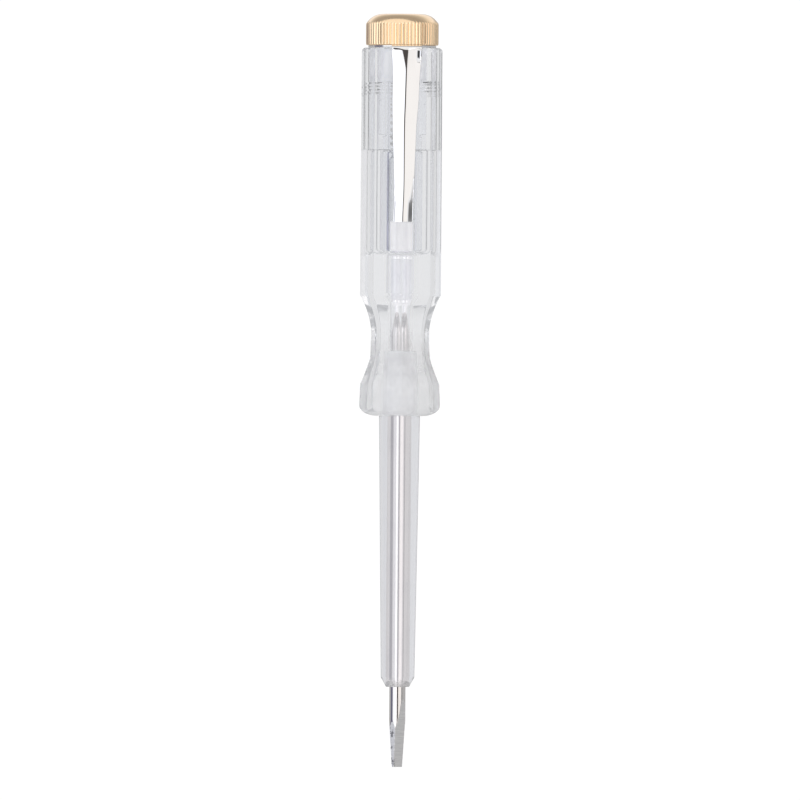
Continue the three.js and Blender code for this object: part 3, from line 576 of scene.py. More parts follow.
@dataclass(frozen=True)
class ClearPlastic(Finish):
    """Clear moulded plastic: draw marks along the pen, soft lumps, and a faint cool tint.

    A satin zone, where two pieces are pressed together, is a cylinder about the pen's axis; its
    pale surface glows as painted light. A thin milky veil lies below its span and fades out along
    it. The plastic's volume absorbs and also glows grey as painted light.
    """

    tint: Colour = (0.95, 0.955, 0.968)
    lump_tone: float = 0.985
    refraction: float = 1.49
    draw_depth: float = 0.0
    lump_depth: float = 0.0
    mottled_from: float = 0.0
    mottle_depth: float = 0.0
    mottle_fade: float = 0.4 * MM
    # painted light: the volume's density also sets how strongly it glows, in the colour below
    haze_and_glow: float = 0.0
    haze_glow_colour: Colour = (0.80, 0.81, 0.835)
    satin_radius: float = 0.0
    satin_span: Spot = (0.0, 0.0)
    satin_edge: float = 0.02 * MM
    satin_roughness: float = 0.32
    satin_cover: float = 0.75
    # painted light: the satin zone's pale surface glows in these tones
    satin_colour: Colour = (0.95, 0.955, 0.965)
    satin_shade: Colour = (0.70, 0.705, 0.73)
    satin_painted_glow: float = 0.19
    satin_clouds: float = 0.5
    milk_cover: float = 0.0
    milk_colour: Colour = (0.80, 0.80, 0.805)
    milk_span: Spot = (0.0, 1.0)
    pale_roughness: float = 0.6
    milk_coat: float = 0.3
    milk_clouds: Spot = (0.3, 0.7)
    milk_swing: float = 0.5
    draws_per_metre: Point = (2600, 70, 2600)
    lumps_per_metre: Point = (420, 300, 420)
    lumps_shaded: Spot = (0.36, 0.64)
    mottle_per_metre: Point = (700, 520, 700)

    def satin(self, shader: Shader, place: Value) -> Value:
        """How much of the satin zone's finish a place has.

        Args:
            shader: The shader to build in.
            place: The place on the object.

        Returns:
            1 inside the zone, else 0.
        """
        about_axis = {0: place, 1: (1.0, 0.0, 1.0), 2: (0.0, 0.0, -AXIS_HEIGHT)}
        across = shader.node("VectorMath", {"operation": "MULTIPLY_ADD"}, about_axis)
        radius = shader.node("VectorMath", {"operation": "LENGTH"}, {0: across}, "Value")
        along = place.part("Y")
        low, high = (TIP + end * MM for end in self.satin_span)
        rim = self.satin_radius * MM
        outside = radius.ramp(rim, rim + self.satin_edge)
        within = along.ramp(low - self.satin_edge, low) - along.ramp(high, high + self.satin_edge)
        return within * (1.0 - outside)

    def dress(self, shader: Shader, place: Value) -> None:
        """Builds the clear surface, the pale one for satin and milk, and the volume that absorbs
        and glows as painted light.

        Args:
            shader: The shader to build in.
            place: The place on the object, in metres of the frame.
        """
        lumps = place.noise(self.lumps_per_metre)
        draws = place.noise(self.draws_per_metre, 1.0)
        height = draws * self.draw_depth + lumps * self.lump_depth
        if self.mottle_depth:
            start, end = (self.mottled_from + way * self.mottle_fade for way in (-1, 1))
            mottle = place.noise(self.mottle_per_metre, 1.5) * place.part("Y").ramp(start, end)
            height = height + mottle * self.mottle_depth
        satin = self.satin(shader, place) if self.satin_radius else 0.0
        clear = 1.0 - satin * self.satin_cover
        if self.milk_cover:
            faded = place.part("Y").ramp(*(TIP + end * MM for end in self.milk_span))
            clouds = lumps.ramp(*self.milk_clouds) * self.milk_swing + (1 - self.milk_swing / 2)
            clear = clear * (1.0 - (1.0 - faded) * clouds * self.milk_cover)
        shaded = tuple(part * self.lump_tone for part in self.tint)
        surface = shader.principled({
            "Base Color": shader.mixed(lumps, self.tint, shaded),
            "Roughness": satin * self.satin_roughness,
            "IOR": self.refraction,
            "Transmission Weight": 1.0,
            "Normal": shader.bump(height, 1.0),
        })
        if self.satin_radius:
            cloudy = lumps.ramp(*self.lumps_shaded) * self.satin_clouds
            tone = shader.mixed(cloudy, self.satin_colour, self.satin_shade)
            # painted light: in the satin zone the pale surface glows in its own tone
            pale = shader.principled({
                "Base Color": shader.mixed(satin, self.milk_colour, tone),
                "Roughness": self.pale_roughness,
                "Coat Weight": self.milk_coat - satin * self.milk_coat,
                "Emission Color": shader.mixed(satin, (0.0, 0.0, 0.0), tone),
                "Emission Strength": self.satin_painted_glow,
            })
            surface = shader.blended(clear, pale, surface)
        shader.finish_with(surface)
        # painted light: the plastic's volume absorbs and also glows grey, though it is no lamp
        if self.haze_and_glow:
            haze_and_glow = {
                "Color": (0.0, 0.0, 0.0),
                "Density": self.haze_and_glow,
                "Emission Strength": self.haze_and_glow,
                "Emission Color": self.haze_glow_colour,
            }
            shader.finish_with(shader.node("VolumePrincipled", None, haze_and_glow), "Volume")


@dataclass(frozen=True)
class PaleSolid(Finish):
    """A pale opaque body, such as ceramic or sintered glass, with a glaze over fine grain. It also
    glows in its own colour as painted light.
    """

    colour: Colour
    shade: Colour
    roughness: float
    glaze: float
    grain_depth: float
    # painted light: how strongly the body glows in its own colour
    glow: float
    glaze_refraction: float = 1.5
    glaze_roughness: float = 0.06
    uneven: float = 0.12
    clouds_per_metre: Point = (500, 300, 500)
    clouds_shaded: Spot = (0.35, 0.75)
    grain_per_metre: Point = (9000, 9000, 9000)

    def dress(self, shader: Shader, place: Value) -> None:
        """Builds the finish.

        Args:
            shader: The shader to build in.
            place: The place on the object, in metres of the frame.
        """
        clouds = place.noise(self.clouds_per_metre, 3.0)
        grain = place.noise(self.grain_per_metre)
        shader.finish_with(shader.principled({
            "Base Color": shader.mixed(
                clouds.ramp(*self.clouds_shaded), self.colour, self.shade
            ),
            "Roughness": grain * self.uneven + (self.roughness - self.uneven / 2),
            "Coat Weight": self.glaze,
            "Coat Roughness": self.glaze_roughness,
            "Coat IOR": self.glaze_refraction,
            # painted light: the body glows in its own colour, though it is no lamp
            "Emission Color": self.colour,
            "Emission Strength": self.glow,
            "Normal": shader.bump(grain, self.grain_depth),
        }))


@dataclass(frozen=True)
class BrightMetal(Finish):
    """A plated or polished metal with hairlines, faint clouds and a rubbed tone. Where glow is set,
    it glows faintly in its own colour as painted light.
    """

    colour: Colour
    dull: Colour
    roughness: float
    hair_per_metre: Point
    hair_depth: float
    # painted light: how strongly the metal glows in its own colour
    glow: float = 0.0
    cloud_gain: float = 0.08
    clouds_per_metre: Point = (260, 130, 260)
    clouds_dull: Spot = (0.45, 0.8)
    clouds_rough: Spot = (0.4, 0.8)

    def dress(self, shader: Shader, place: Value) -> None:
        """Builds the finish.

        Args:
            shader: The shader to build in.
            place: The place on the object, in metres of the frame.
        """
        clouds = place.noise(self.clouds_per_metre, 3.0)
        hairs = place.noise(self.hair_per_metre, 3.0, 0.6)
        shader.finish_with(shader.principled({
            "Base Color": shader.mixed(clouds.ramp(*self.clouds_dull), self.colour, self.dull),
            "Metallic": 1.0,
            "Roughness": clouds.ramp(*self.clouds_rough) * self.cloud_gain + self.roughness,
            # painted light: a glow in the metal's own colour
            "Emission Color": self.colour,
            "Emission Strength": self.glow,
            "Normal": shader.bump(hairs, self.hair_depth),
        }))


@dataclass(frozen=True)
class GroundSteel(Finish):
    """Steel ground across the blade: matte, with grinding lines and dark patches on its left side.
    """

    colour: Colour
    worn: Colour
    dark_patch: Colour
    roughness: float
    dent_depth: float
    uneven: float = 0.2
    line_share: float = 0.04
    dark_patch_cover: float = 0.75
    dark_patch_side: Spot = (-0.3 * MM, 0.1 * MM)
    lines_per_metre: Point = (300, 9000, 300)
    lines_worn: Spot = (0.3, 0.7)
    patches_per_metre: Point = (900, 650, 900)
    patches_darkened: Spot = (0.57, 0.64)

    def dress(self, shader: Shader, place: Value) -> None:
        """Builds the finish.

        Args:
            shader: The shader to build in.
            place: The place on the object, in metres of the frame.
        """
        lines = place.noise(self.lines_per_metre, 2.0, 0.7)
        patches = place.noise(self.patches_per_metre, 3.0, 0.65)
        # darker patches, put only on the left side of the frame
        plain_side = place.part("X").ramp(*self.dark_patch_side)
        darkened = patches.ramp(*self.patches_darkened) * (1.0 - plain_side)
        worn = shader.mixed(lines.ramp(*self.lines_worn), self.colour, self.worn)
        shader.finish_with(shader.principled({
            "Base Color": shader.mixed(darkened * self.dark_patch_cover, worn, self.dark_patch),
            "Metallic": 1.0,
            "Roughness": lines * self.uneven + (self.roughness - self.uneven / 2),
            "Normal": shader.bump(lines * self.line_share + patches, self.dent_depth),
        }))


COLLAR_FOOT = station("handle", LOW)
SLEEVE_LOW, SLEEVE_HIGH = ends("blade_sleeve")
PLUG_HIGH = station("end_plug", HIGH)
SATIN_MARGIN = 0.1
FINE_HAIRS = (5000, 900, 5000)

CLEAR = ClearPlastic(
    "clear_plastic_moulded", Slot.CLEAR, draw_depth=0.6e-6, lump_depth=4e-6, haze_and_glow=24.0,
    satin_radius=2.6, satin_span=(COLLAR_FOOT - SATIN_MARGIN, SLEEVE_HIGH + SATIN_MARGIN),
    milk_cover=0.22, milk_span=(75.8, 82.5),
)
CLEAR_MOTTLED = ClearPlastic(
    "clear_plastic_plug", Slot.CLEAR, draw_depth=0.6e-6, lump_depth=4e-6, haze_and_glow=24.0,
    mottled_from=0.0586, mottle_depth=60e-6, satin_radius=reach("end_plug") + SATIN_MARGIN,
    satin_span=(PLUG_HIGH - 6.2, PLUG_HIGH + SATIN_MARGIN), satin_cover=0.6, satin_clouds=1.0,
    satin_painted_glow=0.36,
)
CLEAR_SLEEVE = ClearPlastic(
    "clear_plastic_sleeve", Slot.CLEAR, (0.845, 0.85, 0.88), lump_depth=3e-6, haze_and_glow=12.0,
    satin_radius=reach("blade_sleeve") + SATIN_MARGIN,
    satin_span=(COLLAR_FOOT + 0.02, SLEEVE_HIGH + SATIN_MARGIN),
    milk_cover=0.4, milk_span=(SLEEVE_LOW + 0.4, SLEEVE_LOW + 1.8),
)
GLASS = ClearPlastic(
    "lamp_glass", Slot.GLASS, (0.985, 0.99, 0.99), refraction=1.5, lump_depth=2e-6
)
# painted light: the stem glows strongly and the ceramic less, each in its own colour
STEM = PaleSolid(
    "lamp_stem", Slot.STEM, (0.82, 0.80, 0.80), (0.78, 0.77, 0.77), 0.5, 0.3, 1.5e-6, 0.86
)
CERAMIC = PaleSolid(
    "resistor_ceramic", Slot.CERAMIC, (0.82, 0.82, 0.85), (0.76, 0.76, 0.81), 0.3, 1.0, 1e-6,
    0.30, 2.6
)
CHROME = BrightMetal(
    "clip_chrome", Slot.CHROME, (0.93, 0.93, 0.94), (0.90, 0.90, 0.91), 0.035,
    (9000, 500, 9000), 0.05e-6, cloud_gain=0.03
)
STEEL = BrightMetal(
    "blade_steel", Slot.STEEL, (0.90, 0.87, 0.86), (0.85, 0.82, 0.82), 0.09,
    (7000, 400, 7000), 0.12e-6, cloud_gain=0.05
)
NICKEL = BrightMetal(
    "contact_nickel", Slot.NICKEL, (0.78, 0.76, 0.72), (0.70, 0.68, 0.64), 0.2, FINE_HAIRS, 0.3e-6
)
LEAD = BrightMetal(
    "lead_wire", Slot.NICKEL, (0.46, 0.47, 0.62), (0.40, 0.41, 0.55), 0.3, FINE_HAIRS, 0.3e-6
)
# painted light: the tin glows in its own colour
TIN = BrightMetal(
    "contact_tin", Slot.NICKEL, (0.94, 0.93, 0.94), (0.88, 0.87, 0.88), 0.22, FINE_HAIRS, 0.3e-6,
    glow=0.2
)
# painted light: the brass glows faintly in its own colour
BRASS = BrightMetal(
    "cap_brass", Slot.BRASS, (1.0, 0.76, 0.51), (0.95, 0.67, 0.42), 0.15, (4000, 700, 4000),
    0.3e-6, glow=0.07
)
GROUND = GroundSteel(
    "blade_ground", Slot.STEEL, (0.98, 0.98, 0.98), (0.80, 0.80, 0.81), (0.14, 0.14, 0.16), 0.5,
    50e-6
)


def make_piece(
    name: str,
    skin: Skin,
    finishes: Sequence[Finish],
    stands_for: Sequence[str],
    body: Optional[Body] = Body.HANDLE,
) -> bpy.types.Object:
    """Turns a skin into a dressed object that stands for CAD nodes.

    Args:
        name: The new object's name.
        skin: Its shape.
        finishes: Its finishes, in the order that the skin numbers them.
        stands_for: The CAD nodes that it replaces.
        body: The body that it rides on, or None for none.

    Returns:
        The object.
    """
    mesh = skin.mesh(name)
    for finish in finishes:
        mesh.materials.append(finish.material())
    piece = bpy.data.objects.new(name, mesh)
    bpy.context.scene.collection.objects.link(piece)
    even = piece.modifiers.new("even_normals", "WEIGHTED_NORMAL")
    even.keep_sharp = True
    even.weight = NORMAL_WEIGHT
    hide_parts(*stands_for)
    if body is not None:
        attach(piece, body.value)
    return piece


# ---- the handle and the blade


@dataclass
class Thread:
    """A right-handed thread on a round barrel."""

    root: float
    depth: float
    pitch: float
    low: float
    high: float
    run_out: float
    rings_per_pitch: int = 12

    def radius(self, along: float, angle: float) -> float:
        """The barrel's radius at a place.

        Args:
            along: The station.
            angle: The direction, from straight up towards +X.

        Returns:
            The radius.
        """
        place = along / self.pitch - angle / FULL_TURN
        shaped = (1 - math.cos(FULL_TURN * place)) / 2
        into = min(along - self.low, self.high - along) / self.run_out
        return self.root + self.depth * shaped * clamp(into)

    def rings(self, angles: Sequence[float]) -> list[Ring]:
        """The thread's rings from its low end to its high end.

        Args:
            angles: Where each ring's points lie.

        Returns:
            The rings.
        """
        length = self.high - self.low
        count = round(length / self.pitch * self.rings_per_pitch)
        rows = [self.low + length * step / count for step in range(count + 1)]
        return [[around(self.radius(row, a), row, a) for a in angles] for row in rows]


@dataclass
class ClearHandle:
    """The clear octagonal handle: collar, flare, neck, shoulder and grip round a stepped bore."""

    corner_radius: float = 7.55
    corner_round: float = 0.28
    sides: int = 8
    foot_radius: float = 4.4
    foot_length: float = 2.2
    foot_steps: int = 18
    collar_top_radius: float = 7.37
    collar_top: float = 71.15
    neck_foot_radius: float = 5.56
    neck_foot: float = 76.5
    flare_pulls: tuple[Spot, Spot] = ((6.55, 2.05), (5.66, 1.3))
    flare_steps: int = 20
    neck_radius: float = 5.4
    neck_top: float = 80.2
    grip_start: float = 87.75
    shoulder_pulls: tuple[Spot, Spot] = ((5.4, 2.4), (6.05, 2.75))
    shoulder_steps: int = 24
    crown_round: float = 0.9
    wall: float = 1.27
    chamber_step: float = 1.0
    thread_depth: float = 0.2
    thread_pitch: float = 1.25
    thread_low: float = 124.6
    thread_high: float = 127.5
    thread_run_out: float = 0.4
    seam: float = 0.05
    socket_radius: float = 2.53
    socket_depth: float = 11.93
    socket_flare: float = 0.2
    blade_hole_radius: float = 1.6
    resistor_bore_radius: float = 2.33
    cone_gap: float = 1.8
    cone_length: float = 1.3
    floor_gap: float = 0.06
    seat_gap: float = 0.02
    cavity_fillet: float = 1.3
    mouth_edge: float = 0.25
    soft_edge: float = 0.22
    flat_columns: int = 12
    corner_columns: int = 4

    def __post_init__(self) -> None:
        """Reads where the CAD solid starts and ends."""
        self.bottom, self.top = ends("handle")
        apothem = self.corner_radius * math.cos(math.pi / self.sides)
        self.cavity_radius = apothem - self.wall
        self.chamber_radius = self.cavity_radius - self.chamber_step

    def ring(self, corner_radius: float, along: float, envelope: float) -> Ring:
        """One octagon with rounded corners, held inside a round envelope.

        Args:
            corner_radius: Its corner radius before rounding.
            along: Its station.
            envelope: The radius that nothing passes.

        Returns:
            The ring's points, in the order of angles().
        """
        half_side = math.pi / self.sides
        apothem = corner_radius * math.cos(half_side)
        arc_centre = (apothem - self.corner_round) / math.cos(half_side)
        half_flat = arc_centre * math.sin(half_side)
        last = self.flat_columns - 1
        profile = [(half_flat * (2 * column / last - 1), apothem) for column in range(last + 1)]
        for column in range(1, self.corner_columns + 1):
            turn = 2 * half_side * column / (self.corner_columns + 1)
            across = arc_centre * math.sin(half_side) + self.corner_round * math.sin(turn)
            out = arc_centre * math.cos(half_side) + self.corner_round * math.cos(turn)
            profile.append((across, out))
        ring = []
        for facing in even_angles(self.sides):
            for across, out in profile:
                radius = least(math.hypot(across, out), envelope, self.soft_edge)
                ring.append(around(radius, along, facing + math.atan2(across, out)))
        return ring

    def angles(self) -> list[float]:
        """The angles of a ring's points, which the bore shares."""
        ring = self.ring(self.corner_radius, 0.0, 2 * self.corner_radius)
        return [math.atan2(x, z) for x, _, z in ring]

    def outside(self) -> list[Ring]:
        """The rings of the outside, from the collar's foot to the crown.

        Returns:
            The rings.
        """
        corner = self.corner_radius
        tight = corner + self.soft_edge / 3
        foot_top = self.bottom + self.foot_length
        crown_foot, crown_radius = self.top - self.crown_round, tight - self.crown_round
        foot = quarter(
            (self.foot_radius, self.bottom), (tight, foot_top), (self.foot_radius, foot_top),
            self.foot_steps,
        )
        (low_flare, low_pull), (high_flare, high_pull) = self.flare_pulls
        flare = bezier([
            (self.collar_top_radius, self.collar_top), (low_flare, self.collar_top + low_pull),
            (high_flare, self.neck_foot - high_pull), (self.neck_foot_radius, self.neck_foot),
        ], self.flare_steps)
        (low_shoulder, low_pull), (high_shoulder, high_pull) = self.shoulder_pulls
        shoulder = bezier([
            (self.neck_radius, self.neck_top), (low_shoulder, self.neck_top + low_pull),
            (high_shoulder, self.grip_start - high_pull), (corner, self.grip_start),
        ], self.shoulder_steps)
        crown = quarter(
            (tight, crown_foot), (crown_radius, self.top), (crown_radius, crown_foot)
        )
        return [
            *(self.ring(corner, along, limit) for limit, along in foot),
            *(self.ring(radius, along, corner + 1.0) for radius, along in flare + shoulder),
            *(self.ring(corner, along, limit) for limit, along in crown),
        ]

    def bore(self, angles: Sequence[float]) -> list[Ring]:
        """The rings of the stepped hole, from its mouth under the cap down to the collar.

        Args:
            angles: Where each ring's points lie.

        Returns:
            The rings.
        """
        floor = station("lamp_lead_lower", LOW) - self.floor_gap
        seat = station("end_plug", LOW)
        cone_bottom = station("blade", HIGH) + self.cone_gap
        socket_top = self.bottom + self.socket_depth
        cavity, chamber = self.cavity_radius, self.chamber_radius
        narrow, hole, socket = self.resistor_bore_radius, self.blade_hole_radius, self.socket_radius
        thread = Thread(
            cavity, self.thread_depth, self.thread_pitch, self.thread_low, self.thread_high,
            self.thread_run_out,
        )
        mouth = rounded([
            (cavity + self.mouth_edge, self.top, 0), (cavity, self.top - self.mouth_edge, 0.1),
            (cavity, self.thread_high + self.seam, 0),
        ], 3)
        deeper = rounded([
            (cavity, self.thread_low - self.seam, 0),
            (cavity, seat + self.seat_gap, 0.05), (chamber, seat, 0.15),
            (chamber, floor, self.cavity_fillet), (narrow, floor, 0.15),
            (narrow, cone_bottom + self.cone_length, 0.2), (hole, cone_bottom, 0.2),
            (hole, socket_top, 0.08), (socket, socket_top, 0.12),
            (socket, self.bottom + self.socket_flare, 0.05),
            (socket + self.socket_flare, self.bottom, 0),
        ], 10)
        threaded = reversed(thread.rings(angles))
        return [*circles(mouth, angles), *threaded, *circles(deeper, angles)]

    def build(self) -> list[bpy.types.Object]:
        """Makes and dresses the handle."""
        skin = Skin().loft(self.outside() + self.bore(self.angles()), looped=True)
        return [make_piece("clear_handle", skin, [CLEAR], ["handle"])]


@dataclass
class Blade:
    """The steel rod with its ground tip, and the clear sleeve that is moulded on to it."""

    radius: float = 1.5
    ground_length: float = 13.0
    ground_spacing: float = 0.16
    tip_thickness: float = 0.5
    half_thickness: Sequence[Spot] = (
        (0.25, 0.0), (0.70, 7.3), (1.0, 8.3), (1.25, 9.8), (1.46, 12.3), (1.56, 13.0)
    )
    half_width: Sequence[Spot] = ((1.175, 0.0), (1.35, 7.3), (1.56, 9.0), (1.6, 13.0))
    point_length: float = 4.1
    point_radius: float = 0.5
    turn: float = math.radians(68)
    crease: float = 0.03
    columns: int = 160
    tip_edge: float = 0.06
    tip_steps: int = 4
    tip_slope: float = 0.5
    shank_gap: float = 0.2
    nose_length: float = 1.8
    nose_radius: float = 3.12
    nose_end_radius: float = 2.15
    sleeve_top_radius: float = 3.8
    collar_gap: float = 0.03
    spigot_radius: float = 2.5
    spigot_chamfer: float = 0.5
    sleeve_columns: int = 128

    @staticmethod
    def half_size(sizes: Sequence[Spot], along: float) -> float:
        """Half the distance between two ground faces.

        Args:
            sizes: Half their distance and the station of each place where their slope changes.
            along: The station.

        Returns:
            Half their distance there.
        """
        for (low, start), (high, end) in zip(sizes, sizes[1:]):
            if along <= end:
                return low + (high - low) * (along - start) / (end - start)
        return sizes[-1][0]

    def profile(self, along: float, angle: float) -> tuple[float, bool]:
        """The blade's radius in one direction.

        Args:
            along: The station.
            angle: The direction, from the normal of the ground faces.

        Returns:
            The radius, and whether a ground face sets it.
        """
        to_face = self.half_size(self.half_thickness, along) / max(abs(math.cos(angle)), TINY)
        to_edge = self.half_size(self.half_width, along) / max(abs(math.sin(angle)), TINY)
        ground = min(to_face, to_edge)
        return least(self.radius, ground, self.crease), ground < self.radius

    def build_rod(self) -> bpy.types.Object:
        """Makes and dresses the blade, whose ground faces have the second finish.

        Returns:
            The blade.
        """
        top = station("blade", HIGH)
        angles = even_angles(self.columns)
        rows = [self.tip_edge * (i + 1) / self.tip_steps for i in range(self.tip_steps)]
        while rows[-1] < self.ground_length:
            rows.append(rows[-1] + self.ground_spacing)
        scales = [(0.0, 1 - 2 * self.tip_edge / self.tip_thickness)]
        for along in rows:
            scales.append((along, 1 - max(0.0, self.tip_slope * (self.tip_edge - along))))
        rings, is_ground = [], []
        for along, scale in scales:
            profile = [self.profile(along, a) for a in angles]
            rings.append([around(scale * r, along, a) for a, (r, _) in zip(angles, profile)])
            is_ground.append([ground for _, ground in profile])
        shank = rounded([
            (self.radius, rows[-1] + self.shank_gap, 0),
            (self.radius, top - self.point_length, 0.3),
            (self.point_radius, top, 0.15), (0.0, top, 0),
        ], 4)
        rings += circles(shank, angles)
        is_ground += [[False] * self.columns] * len(shank)
        rings = [[turned_up(point, self.turn) for point in ring] for ring in rings]

        def finish(ring: int, column: int) -> int:
            """1, the ground finish, where a face is ground at both of its rings."""
            after = min(ring + 1, len(is_ground) - 1)
            return int(is_ground[ring][column] and is_ground[after][column])

        skin = Skin().loft(rings, finish=finish)
        return make_piece("steel_blade", skin, [STEEL, GROUND], ["blade"])

    def build_sleeve(self) -> bpy.types.Object:
        """Makes and dresses the sleeve, which has no gap to the rod inside it.

        Returns:
            The sleeve.
        """
        nose, top = SLEEVE_LOW, SLEEVE_HIGH
        shoulder = COLLAR_FOOT - self.collar_gap
        outline = rounded([
            (0.0, nose, 0), (self.nose_end_radius, nose, 0.12),
            (self.nose_radius, nose + self.nose_length, 0.5),
            (self.sleeve_top_radius, shoulder, 0.12), (self.spigot_radius, shoulder, 0.05),
            (self.spigot_radius, top, self.spigot_chamfer), (0.0, top, 0),
        ], 6)
        skin = Skin().revolve(outline, self.sleeve_columns)
        return make_piece("clear_sleeve", skin, [CLEAR_SLEEVE], ["blade_sleeve"])

    def build(self) -> list[bpy.types.Object]:
        """Makes both pieces."""
        return [self.build_rod(), self.build_sleeve()]


# ---- what is inside the handle


@dataclass
class Resistor:
    """The series resistor: a ceramic rod between two pressed caps."""

    radius: float = 1.53
    cap_length: float = 0.7
    cap_wall: float = 0.16
    cap_gap: float = 0.03
    nub_length: float = 1.75
    nub_radius: float = 0.6
    edge: float = 0.12
    columns: int = 72

    def build_cap(self, which: str, end: float, inward: int, nub: float) -> bpy.types.Object:
        """Makes and dresses one pressed cap.

        Args:
            which: "lower" or "upper".
            end: The station of its flat end.
            inward: 1 where the resistor lies above the end, -1 where it lies below.
            nub: The contact nub's length, or 0 for none.

        Returns:
            The cap.
        """
        inner = self.radius - self.cap_wall
        rim, floor = end + inward * self.cap_length, end + inward * self.cap_wall
        tip = end - inward * nub
        start = [(0.0, tip, 0), (self.nub_radius, tip, 0.2), (self.nub_radius, end, 0.15)]
        outline = rounded([
            *(start if nub else [(0.0, end, 0)]), (self.radius, end, self.edge * 2),
            (self.radius, rim, 0.05), (inner, rim, 0.05), (inner, floor, 0.05), (0.0, floor, 0),
        ])
        skin = Skin().revolve(outline, self.columns)
        return make_piece(f"ferrule_{which}", skin, [TIN], [f"resistor_cap_{which}"])

    def build(self) -> list[bpy.types.Object]:
        """Makes and dresses the rod and its caps.

        Returns:
            The three pieces.
        """
        low = station("resistor_cap_lower", LOW) + self.nub_length
        high = station("resistor_cap_upper", HIGH)
        neck = self.radius - self.cap_wall - self.cap_gap
        inset, cap = self.cap_wall + self.cap_gap, self.cap_length + self.cap_gap
        outline = rounded([
            (0.0, low + inset, 0), (neck, low + inset, 0.05), (neck, low + cap, 0.05),
            (self.radius, low + cap, 0.08), (self.radius, high - cap, 0.08),
            (neck, high - cap, 0.05), (neck, high - inset, 0.05), (0.0, high - inset, 0),
        ])
        rod = Skin().revolve(outline, self.columns)
        return [
            make_piece("ceramic_rod", rod, [CERAMIC], ["resistor_body"]),
            self.build_cap("lower", low, 1, self.nub_length),
            self.build_cap("upper", high, -1, 0),
        ]


@dataclass
class NeonLamp:
    """The neon lamp: bulb, stem, two electrodes, and two leads bent over its ends."""

    bulb_radius: float = 2.35
    bulb_wall: float = 0.4
    rim_width: float = 0.1
    rim_height: float = 0.3
    dome_length: float = 1.7
    stem_length: float = 5.4
    stem_gap: float = 0.03
    electrode_radius: float = 0.32
    electrode_spacing: float = 1.5
    electrode_columns: int = 20
    lead_radius: float = 0.25
    lead_bend: float = 0.5
    lead_foot: float = 1.1
    lead_sides: int = 14
    lead_spacing: float = 0.5
    gap: float = 0.06
    turn: float = math.radians(-70.5)
    columns: int = 72

    def __post_init__(self) -> None:
        """Reads where the lamp's solids lie."""
        self.bottom, self.top = ends("lamp_bulb")
        self.lead_place = self.bulb_radius + self.gap + self.lead_radius

    def build_bulb(self) -> bpy.types.Object:
        """Makes and dresses the glass.

        Returns:
            The bulb.
        """
        dome = self.top - self.dome_length
        inner = self.bulb_radius - self.bulb_wall
        rim, rim_top = inner + self.rim_width, self.bottom + self.rim_height
        outline = [
            (inner, self.bottom),
            *quarter((rim, self.bottom), (self.bulb_radius, rim_top), (rim, rim_top), 5),
            *quarter((self.bulb_radius, dome), (0.0, self.top), (0.0, dome)),
            *quarter((0.0, self.top - self.bulb_wall), (inner, dome), (0.0, dome)),
        ]
        skin = Skin().revolve(outline, self.columns, looped=True)
        return make_piece("glass_bulb", skin, [GLASS], ["lamp_bulb"])

    def build_stem(self) -> bpy.types.Object:
        """Makes and dresses the pale stem that closes the bulb.

        Returns:
            The stem.
        """
        radius = self.bulb_radius - self.bulb_wall - self.stem_gap
        top = self.bottom + self.stem_length
        outline = rounded([
            (0.0, self.bottom, 0), (radius, self.bottom, 0.9), (radius, top, 0.4), (0.0, top, 0)
        ], 8)
        skin = Skin().revolve(outline, self.columns)
        return make_piece("pale_stem", skin, [STEM], ["lamp_stem"])

    def build_electrode(self, node: str, side: int) -> bpy.types.Object:
        """Makes and dresses one electrode.

        Args:
            node: The CAD node that it stands for.
            side: -1 or 1, the side of the axis that it stands on.

        Returns:
            The electrode.
        """
        low, high = ends(node)
        radius, shift = self.electrode_radius, side * self.electrode_spacing / 2
        outline = rounded([
            (0.0, low, 0), (radius, low, 0.05), (radius, high, 0.15), (0.0, high, 0)
        ])
        rings = [
            [turned_up((x + shift, y, z), self.turn) for x, y, z in ring]
            for ring in circles(outline, even_angles(self.electrode_columns))
        ]
        return make_piece(f"{node}_rod", Skin().loft(rings), [NICKEL], [node])

    def build_lead(self, node: str, corners: Sequence[Point], bend: float) -> bpy.types.Object:
        """Makes and dresses one lead.

        Args:
            node: The CAD node that it stands for.
            corners: The corners of its path, before the lamp's turn.
            bend: Where its bends begin.

        Returns:
            The lead.
        """
        turned = [Vector(turned_up(corner, self.turn)) for corner in corners]
        path = bent_path(turned, bend, self.lead_spacing)
        skin = wire(path, self.lead_radius, self.lead_sides)
        return make_piece(f"{node}_wire", skin, [LEAD], [node])

    def build(self) -> list[bpy.types.Object]:
        """Makes the lamp's six pieces.

        Returns:
            The pieces.
        """
        thick = 2 * self.lead_radius
        low = station("lamp_lead_upper", LOW) + self.lead_radius
        high = station("lamp_lead_upper", HIGH) - self.lead_radius
        foot = station("lamp_lead_lower", LOW) + self.lead_radius
        upper = [
            (0.0, low, thick), (0.0, low, self.lead_place), (0.0, high, self.lead_place),
            (0.0, high, -self.lead_foot),
        ]
        lower = [
            (0.0, self.bottom - self.stem_gap, -self.lead_foot), (0.0, foot, -self.lead_foot),
            (0.0, foot, self.lead_foot),
        ]
        return [
            self.build_bulb(),
            self.build_stem(),
            self.build_electrode("lamp_electrode_a", -1),
            self.build_electrode("lamp_electrode_b", 1),
            self.build_lead("lamp_lead_upper", upper, self.lead_bend),
            self.build_lead("lamp_lead_lower", lower, thick),
        ]


